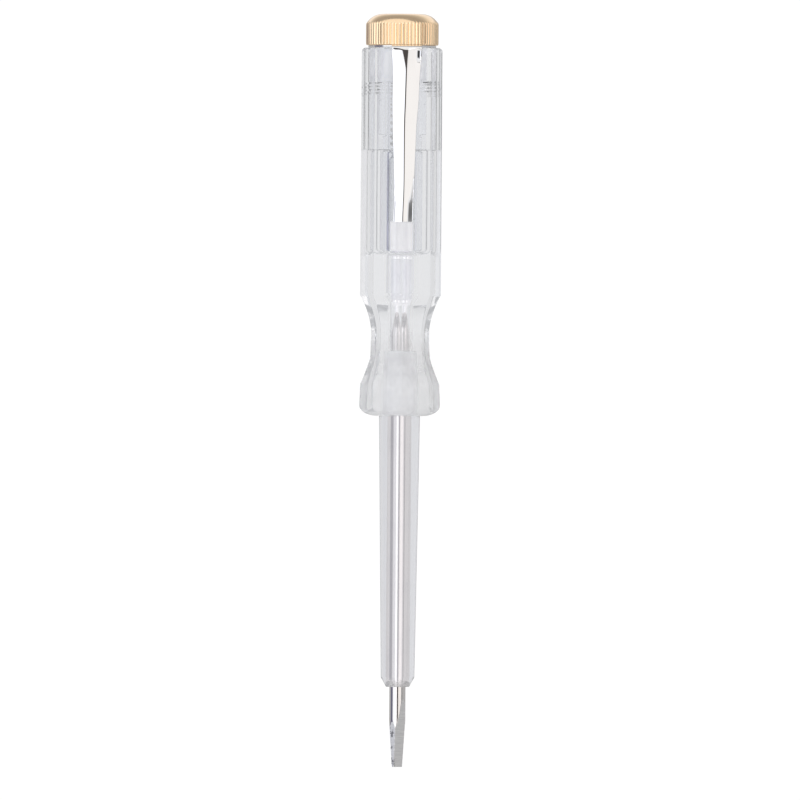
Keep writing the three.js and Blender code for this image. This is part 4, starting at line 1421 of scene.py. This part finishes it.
@dataclass
class LampCarrier:
    """The clear tube that holds the lamp on the axis."""

    bore_radius: float = 2.95
    bore_edge: float = 0.15
    foot_round: float = 1.3
    top_round: float = 1.1
    seam: float = 0.5
    columns: int = 128

    def build(self) -> list[bpy.types.Object]:
        """Makes and dresses the carrier.

        Returns:
            The carrier alone.
        """
        low, high = ends("lamp_carrier")
        radius, bore = reach("lamp_carrier"), self.bore_radius
        middle = (low + high) / 2
        outline = rounded([
            (bore, middle, 0), (bore, low, self.bore_edge), (radius, low, self.foot_round),
            (radius, high, self.top_round), (bore, high, self.bore_edge),
            (bore, middle + self.seam, 0),
        ], 12)
        skin = Skin().revolve(outline, self.columns, looped=True)
        return [make_piece("clear_carrier", skin, [CLEAR], ["lamp_carrier"])]


# ---- the screw-in end


@dataclass
class EndPlug:
    """The clear threaded plug that closes the handle, with the stud and the spring in it."""

    thread_depth: float = 0.12
    thread_start: float = 6.0
    thread_length: float = 5.0
    thread_pitch: float = 1.25
    thread_run_out: float = 0.6
    seam: float = 0.05
    bore_seam: Spot = (0.4, 0.3)
    pilot_length: float = 2.8
    pilot_step: float = 1.3
    edge: float = 0.35
    spring_bore_radius: float = 2.375
    stud_radius: float = 2.0
    stud_clearance: float = 0.03
    stud_pitch: float = 0.7
    stud_thread_depth: float = 0.22
    stud_run_out: float = 0.5
    stud_chamfer: float = 0.3
    stud_plain_ends: Spot = (0.4, 0.1)
    stud_head_step: float = 0.1
    columns: int = 128
    stud_columns: int = 64
    spring_wire: float = 0.45
    spring_radius: float = 1.85
    spring_turns: int = 10
    spring_gap: float = 0.03
    spring_steps: int = 32
    spring_sides: int = 12

    def build_plug(self) -> bpy.types.Object:
        """Makes and dresses the plug.

        Returns:
            The plug.
        """
        low, high, stud_low = station("end_plug", LOW), PLUG_HIGH, station("cap_stud", LOW)
        angles = even_angles(self.columns)
        outer = reach("end_plug") - self.thread_depth
        pilot, pilot_top = outer - self.pilot_step, low + self.pilot_length
        bore, hole = self.spring_bore_radius, self.stud_radius + self.stud_clearance
        thread = Thread(
            outer, self.thread_depth, self.thread_pitch,
            high - self.thread_start - self.thread_length, high - self.thread_start,
            self.thread_run_out,
        )
        below = rounded([
            (bore, stud_low - self.bore_seam[0], 0), (bore, low, 0.12),
            (pilot, low, self.edge), (pilot, pilot_top, 0.12), (outer, pilot_top, 0.15),
            (outer, thread.low - self.seam, 0),
        ], 6)
        above = rounded([
            (outer, thread.high + self.seam, 0), (outer, high, 0.2), (hole, high, 0.1),
            (hole, stud_low, 0.05), (bore, stud_low, 0.05),
            (bore, stud_low - self.bore_seam[1], 0),
        ], 6)
        rings = [*circles(below, angles), *thread.rings(angles), *circles(above, angles)]
        skin = Skin().loft(rings, looped=True)
        return make_piece("clear_plug", skin, [CLEAR_MOTTLED], ["end_plug"], Body.CAP)

    def build_stud(self) -> bpy.types.Object:
        """Makes and dresses the threaded stud.

        Returns:
            The stud.
        """
        low, high = ends("cap_stud")
        angles = even_angles(self.stud_columns)
        root = self.stud_radius - self.stud_thread_depth
        thread = Thread(
            root, self.stud_thread_depth, self.stud_pitch, low + self.stud_plain_ends[0],
            high - self.stud_plain_ends[1], self.stud_run_out,
        )
        foot = [(0.0, low), (root - self.stud_chamfer, low), (root, low + self.stud_chamfer)]
        head = [(root - self.stud_head_step, high), (0.0, high)]
        rings = [*circles(foot, angles), *thread.rings(angles), *circles(head, angles)]
        return make_piece("threaded_stud", Skin().loft(rings), [NICKEL], ["cap_stud"], Body.CAP)

    def build_spring(self) -> bpy.types.Object:
        """Makes the contact spring.

        Returns:
            The spring.
        """
        low = station("lamp_lead_upper", HIGH) + self.spring_gap + self.spring_wire / 2
        high = station("cap_stud", LOW) - self.spring_gap - self.spring_wire / 2
        steps = self.spring_turns * self.spring_steps
        path = []
        for step in range(steps + 1):
            turn = FULL_TURN * self.spring_turns * step / steps
            along = low + (high - low) * step / steps
            path.append(Vector(around(self.spring_radius, along, turn)))
        skin = wire(path, self.spring_wire / 2, self.spring_sides)
        spring = make_piece("wound_spring", skin, [NICKEL], ["contact_spring"], None)
        tuple(in_frame((0.0, low, 0.0)))
        tuple(in_frame((0.0, high, 0.0)))
        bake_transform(spring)
        return spring

    def build(self) -> list[bpy.types.Object]:
        """Makes the three pieces."""
        return [self.build_plug(), self.build_stud(), self.build_spring()]


@dataclass
class KnurledCap:
    """The brass cap: a straight-knurled band under a shallow dome, with a hole for the stud."""

    radius: float = 6.75
    ridges: int = 60
    ridge_depth: float = 0.17
    ridge_flat: float = 0.4
    per_ridge: int = 8
    knurl_length: float = 4.15
    lip: float = 0.3
    face_radius: float = 3.5
    dome_pulls: tuple[Spot, Spot] = ((0.75, 0.95), (1.6, 0.0))
    dome_steps: int = 22
    soft_edge: float = 0.12
    free_margin: float = 0.5
    free_length: float = 0.3
    overhang: float = 0.02
    dome_start: float = 0.1
    hole_radius: float = 2.03
    hole_depth: float = 2.83

    def ridge(self, angle: float) -> float:
        """The knurl's radius in one direction: flat-topped ridges between V grooves."""
        place = (angle / FULL_TURN * self.ridges) % 1.0
        return self.radius - self.ridge_depth * beyond(self.ridge_flat, abs(2 * place - 1))

    def build(self) -> list[bpy.types.Object]:
        """Makes and dresses the cap.

        Returns:
            The cap alone.
        """
        low, high = ends("cap")
        shoulder, lip_top, hole_top = low + self.knurl_length, low + self.lip, low + self.hole_depth
        inner, free = self.radius - self.lip, self.radius + self.free_margin
        angles = even_angles(self.ridges * self.per_ridge)
        (side_in, side_pull), (face_pull, _) = self.dome_pulls
        envelope = [
            *quarter((inner, low), (self.radius + self.overhang, lip_top), (inner, lip_top), 5),
            (free, lip_top + self.free_length),
            (free, shoulder - self.free_length),
            *bezier([
                (self.radius - self.overhang, shoulder - self.dome_start),
                (self.radius - side_in, shoulder + side_pull),
                (self.face_radius + face_pull, high), (self.face_radius, high),
            ], self.dome_steps),
        ]
        rings = [
            [around(least(self.ridge(a), limit, self.soft_edge), along, a) for a in angles]
            for limit, along in envelope
        ]
        under = rounded([
            (0.0, hole_top, 0), (self.hole_radius, hole_top, 0.05), (self.hole_radius, low, 0.12),
            (inner, low, 0),
        ], 4)
        skin = Skin().loft(circles(under[:-1], angles) + rings + circles([(0.0, high)], angles))
        return [make_piece("brass_cap", skin, [BRASS], ["cap"], Body.CAP)]


# ---- the clip


@dataclass
class PocketClip:
    """The clip: one pressed strip with a washer end under the cap and a ridge down its middle."""

    sheet: float = 0.4
    ring_radius: float = 6.3
    ring_hole_radius: float = 2.4
    ring_edge: float = 0.1
    ring_seam: Spot = (1.0, 0.9)
    ring_columns: int = 96
    inner_radius: float = 7.85
    bend_radius: float = 0.7
    overlap: float = 1.6
    length: float = 32.4
    neck_width: float = 5.9
    end_width: float = 3.7
    ridge_rise: float = 0.62
    ridge_softness: float = 0.07
    crown_softness: float = 0.42
    crown_length: float = 0.11
    forming_length: float = 0.2
    bow: float = 0.75
    lip_rise: float = 0.25
    lip_from: float = 0.9
    edge_round: float = 0.14
    edge_steps: int = 6
    pressed_length: float = 4.7
    pressed_slope: float = 0.26
    pressed_from: float = 0.44
    wedge_length: float = 4.8
    wedge_share: float = 0.6
    step_length: float = 0.02
    far_pressed_from: float = 0.84
    far_pressed_slope: float = 0.72
    corner_drop: float = 0.36
    corner_from: float = 0.66
    corner_place: float = -0.01
    corner_length: float = 0.07
    corner_fullness: float = 1.5
    sway: float = 0.5
    twist: float = math.radians(2)
    twist_from: float = 0.5
    twist_growth: float = 1.5
    turn: float = math.radians(22.5)
    hinge_drop: float = 0.9
    hinge_margin: float = 0.3
    flex_length: float = 2.2
    cross_steps: int = 24
    ring_steps: int = 6
    bend_steps: int = 16
    arm_steps: int = 72
    place_shares: tuple[float, ...] = (0.0, 0.14, 0.3, 0.44, 0.6, 0.8, 1.0)
    taper_shares: tuple[float, ...] = (0.12, 0.36, 0.45, 0.65, 0.81, 1.0, 0.98)
    bow_shares: tuple[float, ...] = (0.1, 0.7, 1.0, 0.95, 0.8, 0.55, 0.5)
    sway_shares: tuple[float, ...] = (1.0, 0.78, 0.5, 0.22, 0.22, 0.22, -0.15)

    def share(self, shares: Sequence[float], place: float) -> float:
        """A smooth reading between shares.

        Args:
            shares: The values at place_shares.
            place: Where to read, from 0 at the bend to 1 at the free end.

        Returns:
            The value there.
        """
        place = clamp(place)
        places = self.place_shares
        i = max(j for j in range(len(places) - 1) if places[j] <= place)
        t = (place - places[i]) / (places[i + 1] - places[i])
        a, b = shares[i], shares[i + 1]
        slope_a = (b - shares[max(i - 1, 0)]) / 2
        slope_b = (shares[min(i + 2, len(shares) - 1)] - a) / 2
        blend = a * (1 + 2 * t) * (1 - t) ** 2 + b * t * t * (3 - 2 * t)
        return blend + slope_a * t * (1 - t) ** 2 - slope_b * t * t * (1 - t)

    def spine(self) -> list[tuple[Vector, Vector, float]]:
        """The strip's middle line.

        Returns:
            For each section its centre and outward normal, as radial distance and station, and
            its place from 0 at the bend to 1 at the free end (below 0 before the bend).
        """
        middle = station("clip_ring", HIGH) - self.sheet / 2
        bend = self.bend_radius + self.sheet / 2
        outer = self.inner_radius + self.sheet / 2
        centre = Vector((outer - bend, middle - bend))
        inside = self.ring_radius - self.overlap
        bottom = station("clip_arm", LOW)
        sections = []
        for share in (step / self.ring_steps for step in range(self.ring_steps + 1)):
            out = inside + (centre.x - inside) * share
            sections.append((Vector((out, middle)), Vector((0.0, 1.0)), -1.0 + share / 2))
        for share in (step / self.bend_steps for step in range(1, self.bend_steps + 1)):
            turn = QUARTER_TURN * (1 - share)
            normal = Vector((math.cos(turn), math.sin(turn)))
            sections.append((centre + normal * bend, normal, -0.5 + share / 2))
        bent = len(sections)
        for place in (step / self.arm_steps for step in range(1, self.arm_steps + 1)):
            bowed = self.share(self.bow_shares, place) - self.bow_shares[0] * (1 - place)
            out = outer + self.bow * bowed + self.lip_rise * beyond(self.lip_from, place) ** 2
            here = Vector((out, centre.y + (bottom - centre.y) * place))
            sections.append((here, Vector((1.0, 0.0)), place))
        for i in range(bent + 1, len(sections) - 1):
            ahead = sections[i + 1][0] - sections[i - 1][0]
            normal = Vector((-ahead.y, ahead.x)).normalized()
            sections[i] = (sections[i][0], normal, sections[i][2])
        return sections

    def pressed(self, place: float, across: float) -> float:
        """How far the free end's edges are pressed down, behind a wedge that grows towards it.

        Args:
            place: The place along the strip, from 0 to 1.
            across: The place across the strip, from -1 to 1.

        Returns:
            The drop, as a share of half the strip's width.
        """
        start = 1 - self.pressed_length / self.length
        grown = clamp((place - start) * self.length / self.wedge_length + 1)
        step = clamp((place - start) / self.step_length)
        wedge = self.wedge_share * grown + (1 - self.wedge_share) * step
        near = 1 - (1 - self.pressed_from) * wedge
        far = 1 - (1 - self.far_pressed_from) * step
        near_drop = self.pressed_slope * max(0.0, across - near)
        return near_drop + self.far_pressed_slope * max(0.0, -across - far)

    def section(self, centre: Vector, normal: Vector, place: float) -> Ring:
        """One closed section of the strip.

        Args:
            centre: Its centre, as radial distance and station.
            normal: Its outward normal in the same plane.
            place: Its place along the strip.

        Returns:
            The section's points.
        """
        taper = self.share(self.taper_shares, place)
        width = self.neck_width + (self.end_width - self.neck_width) * taper
        half, half_sheet = width / 2 - self.edge_round, self.sheet / 2
        formed = clamp((place + self.forming_length) / self.forming_length)
        formed = formed * formed * (3 - 2 * formed)
        rise = self.ridge_rise * formed * width / self.neck_width
        aside = abs(place - self.corner_place) / self.corner_length
        corner = clamp(self.corner_fullness - aside)
        crown = 1 - clamp(place / self.crown_length)
        soft = self.ridge_softness + self.crown_softness * crown
        upper, lower = [], []
        for step in range(self.cross_steps + 1):
            across = 2 * step / self.cross_steps - 1
            ridge = math.sqrt(across * across + soft * soft) - soft
            drop = rise * ridge + half * self.pressed(place, across)
            drop += self.corner_drop * corner * beyond(self.corner_from, across)
            upper.append((across * half, half_sheet - drop))
            lower.append((across * half, -half_sheet - drop))
        edge_drop = (upper[0][1] + lower[0][1]) / 2
        turns = [math.pi * step / self.edge_steps for step in range(1, self.edge_steps)]
        rim = [
            (half + self.edge_round * math.sin(t), edge_drop + half_sheet * math.cos(t))
            for t in turns
        ]
        shift = self.sway * self.share(self.sway_shares, place)
        twist = self.twist * beyond(self.twist_from, place) ** self.twist_growth
        points = []
        for across, out in [*upper, *rim, *reversed(lower), *((-x, y) for x, y in reversed(rim))]:
            x = across * math.cos(twist) + out * math.sin(twist) + shift
            there = centre + normal * (out * math.cos(twist) - across * math.sin(twist))
            points.append(turned_up((x, there.y, there.x), self.turn))
        return points

    def build(self) -> list[bpy.types.Object]:
        """Makes the clip.

        Returns:
            The clip alone.
        """
        high = station("clip_ring", HIGH)
        low = high - self.sheet
        hole, edge = self.ring_hole_radius, self.ring_edge
        washer = rounded([
            (hole + self.ring_seam[0], low, 0), (self.ring_radius, low, edge),
            (self.ring_radius, high, edge), (hole, high, edge), (hole, low, edge),
            (hole + self.ring_seam[1], low, 0),
        ], 4)
        skin = Skin().loft([self.section(*s) for s in self.spine()])
        skin.revolve(washer, self.ring_columns, looped=True)
        clip = make_piece("sprung_clip", skin, [CHROME], ["clip_ring", "clip_arm"], None)
        hinge = station("handle", HIGH) - self.hinge_drop
        tuple(in_frame((0.0, hinge + self.hinge_margin, 0.0)))
        tuple(in_frame((0.0, hinge - self.flex_length, 0.0)))
        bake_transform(clip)
        return [clip]


# ---- the studio


@dataclass(frozen=True)
class Softbox:
    """A flat softbox beside the camera that faces the pen.

    Its span is where it starts and ends, in degrees to the right of the camera's direction, and
    a white reflection of it renders at its radiance.
    """

    name: str
    span: Spot
    distance: float
    radiance: float
    colour: Colour = WHITE
    length: float = 1.3


@dataclass
class Studio:
    """Camera, softboxes, room and floor. Directions are counted from the camera's own."""

    view_turn: float = math.radians(19.5)
    roll: float = 0.0075
    distance: float = 3.616
    lens: float = 875.2
    sensor: float = 36.0
    clip: Spot = (0.05, 20.0)
    picture_side: int = 800
    millimetres_per_pixel: float = 0.18592
    tip_row: float = 767
    axis_column: float = 399.6
    floor_reach: float = 6.0
    floor_colour: Colour = (0.86, 0.86, 0.86)
    floor_seen: float = 1.06
    floor_seen_share: float = 0.92
    floor_mirrored: float = 0.46
    floor_through: float = 0.36
    # painted light on the floor, seen only in mirror rays: a bright strip, and a darker floor
    # further along
    strip_rise: Spot = (0.0705, 0.0725)
    strip_fall: Spot = (0.074, 0.084)
    strip_gain: float = 0.42
    far_from: Spot = (0.080, 0.10)
    far_loss: float = 0.14
    gap_fill: Colour = (0.58, 0.58, 0.60)
    fill: Colour = (0.60, 0.60, 0.62)
    fill_share: float = 0.75
    warm: Colour = (1.0, 0.965, 0.93)
    end_wall: Colour = (0.95, 0.93, 0.90)
    end_middle: Colour = (0.20, 0.18, 0.16)
    end_slope: Spot = (0.60, 0.74)
    end_middle_slope: Spot = (0.97, 0.995)
    between_sides: Spot = (0.14, 0.28)
    far_slope: Spot = (0.28, 0.38)
    walls: tuple[tuple[float, Colour], ...] = (
        (0.0, (0.15, 0.15, 0.21)), (0.022, (0.20, 0.20, 0.27)), (0.045, (0.84, 0.86, 0.90)),
        (0.26, (0.84, 0.86, 0.90)), (0.40, (0.24, 0.24, 0.27)), (0.45, (0.08, 0.07, 0.065)),
        (0.57, (0.08, 0.07, 0.065)), (0.62, (0.24, 0.23, 0.22)), (0.86, (0.30, 0.29, 0.28)),
        (0.88, (0.66, 0.66, 0.66)), (0.925, (0.66, 0.66, 0.67)), (0.94, (0.05, 0.05, 0.05)),
        (0.975, (0.06, 0.06, 0.06)), (1.0, (0.28, 0.28, 0.29)),
    )

    def __post_init__(self) -> None:
        """Works out the view's directions and the point that it looks at."""
        self.towards = Vector((math.sin(self.view_turn), 0.0, math.cos(self.view_turn)))
        self.right = Vector((math.cos(self.view_turn), 0.0, -math.sin(self.view_turn)))
        self.up = Vector((0.0, 1.0, 0.0))
        centre = self.picture_side / 2
        along = (self.tip_row - centre) * self.millimetres_per_pixel
        beside = (centre - self.axis_column) * self.millimetres_per_pixel * MM
        self.target = in_frame((0.0, along, 0.0)) + self.right * beside

    def place(
        self,
        name: str,
        data: bpy.types.ID,
        side: Vector,
        up: Vector,
        facing: Vector,
        distance: float,
    ) -> bpy.types.Object:
        """Puts an object at a distance from the pen, turned towards it.

        Args:
            name: The object's name.
            data: Its camera or light.
            side: Its own X direction.
            up: Its own Y direction.
            facing: The direction from the pen to it.
            distance: Metres from the pen.

        Returns:
            The object.
        """
        made = bpy.data.objects.new(name, data)
        turn = Matrix((side, up, facing)).transposed()
        made.matrix_world = Matrix.Translation(self.target + facing * distance) @ turn.to_4x4()
        bpy.context.scene.collection.objects.link(made)
        return made

    def add_camera(self) -> None:
        """The camera, square to the pen."""
        lens = bpy.data.cameras.new("camera")
        lens.lens = self.lens
        lens.sensor_width = self.sensor
        lens.clip_start, lens.clip_end = self.clip
        up = (self.up - self.right * self.roll).normalized()
        side = up.cross(self.towards).normalized()
        camera = self.place("camera", lens, side, up, self.towards, self.distance)
        bpy.context.scene.camera = camera

    def add_softbox(self, box: Softbox) -> None:
        """Adds one softbox.

        Args:
            box: Its place, size and light.
        """
        start, end = box.span
        middle = math.radians((start + end) / 2)
        width = 2 * box.distance * math.tan(math.radians((end - start) / 2))
        light = bpy.data.lights.new(box.name, "AREA")
        light.shape = "RECTANGLE"
        light.size = width
        light.size_y = box.length
        light.energy = box.radiance * math.pi * width * box.length
        light.color = box.colour
        facing = self.towards * math.cos(middle) + self.right * math.sin(middle)
        side = self.up.cross(facing)
        made = self.place(box.name, light, side, self.up, facing, box.distance)
        made.visible_camera = False

    def add_room(self) -> None:
        """The room: white where the camera looks past the pen, and dimmer walls elsewhere."""
        world = bpy.data.worlds.new("room")
        world.use_nodes = True
        bpy.context.scene.world = world
        shader = Shader(world.node_tree, "ShaderNodeOutputWorld")
        direction = shader.node("TexCoord", output="Generated")
        sideways = shader.node(
            "VectorMath", {"operation": "DOT_PRODUCT"}, {0: direction, 1: tuple(self.right)},
            "Value",
        )
        lengthways = direction.part("Y")
        walls = shader.node("ValToRGB", {"stops": self.walls}, {0: sideways * 0.5 + 0.5})
        slope = abs(lengthways)
        middle = slope.ramp(*self.end_middle_slope)
        end_walls = shader.mixed(middle, self.end_wall, self.end_middle)
        room = shader.mixed(slope.ramp(*self.end_slope), walls, end_walls)
        between = 1.0 - abs(sideways).ramp(*self.between_sides)
        far = lengthways.ramp(*self.far_slope)
        sides = shader.mixed(between * far, room, self.end_wall)
        through = shader.is_ray("Transmission")
        filled = shader.mixed(between * through, sides, self.gap_fill)
        softened = shader.mixed(through * self.fill_share, filled, self.fill)
        seen = shader.mixed(shader.is_ray("Camera"), softened, WHITE)
        shader.finish_with(shader.node("Background", None, {"Color": seen}))

    def add_floor(self) -> None:
        """A pale floor that shows white and keeps the pen's faint shadow. To mirror rays it glows,
        with a painted bright strip and painted shade further along; refracted rays see it dimmer.
        """
        size = self.floor_reach
        mesh = bpy.data.meshes.new("floor")
        corners = [(-size, -size, 0), (size, -size, 0), (size, size, 0), (-size, size, 0)]
        mesh.from_pydata(corners, [], [(0, 1, 2, 3)])
        floor = bpy.data.objects.new("floor", mesh)
        bpy.context.scene.collection.objects.link(floor)
        shader, material = Shader.for_material("pale_floor")
        camera, glossy = shader.is_ray("Camera"), shader.is_ray("Glossy")
        through = shader.is_ray("Transmission")
        along = shader.node("TexCoord", output="Object").part("Y")
        # painted light: mirror rays see a brighter strip across the floor and a darker floor
        # further along
        strip = along.ramp(*self.strip_rise) * (1.0 - along.ramp(*self.strip_fall))
        far = along.ramp(*self.far_from) * self.far_loss
        mirrored = strip * self.strip_gain - far + self.floor_mirrored
        strength = camera * self.floor_seen + glossy * mirrored + through * self.floor_through
        plain = shader.node("BsdfDiffuse", None, {"Color": self.floor_colour})
        glow = shader.node("Emission", None, {"Color": strength, "Strength": 1.0})
        shader.finish_with(shader.blended(camera * self.floor_seen_share + glossy, plain, glow))
        mesh.materials.append(material)

    def build(self) -> None:
        """Sets the whole studio up."""
        bpy.context.scene.view_settings.view_transform = "Standard"
        self.add_camera()
        for box in (
            Softbox("softbox_left", (-31, -8), 0.7, 0.92),
            Softbox("softbox_far_left", (-68, -31), 0.72, 0.26),
            Softbox("softbox_right", (10, 47), 0.7, 0.72, self.warm),
            Softbox("softbox_far_right", (47, 60), 0.72, 0.26, self.warm),
        ):
            self.add_softbox(box)
        self.add_room()
        self.add_floor()


def main() -> None:
    """Builds the pen piece by piece, then the studio round it."""
    logging.basicConfig(level=logging.INFO, format="%(name)s: %(message)s")
    assemblies = (
        ClearHandle(), Blade(), Resistor(), NeonLamp(), LampCarrier(), EndPlug(), KnurledCap(),
        PocketClip(),
    )
    for assembly in assemblies:
        for piece in assembly.build():
            log.info("%s: %d faces", piece.name, len(piece.data.polygons))
    Studio().build()


if __name__ == "__main__":
    main()
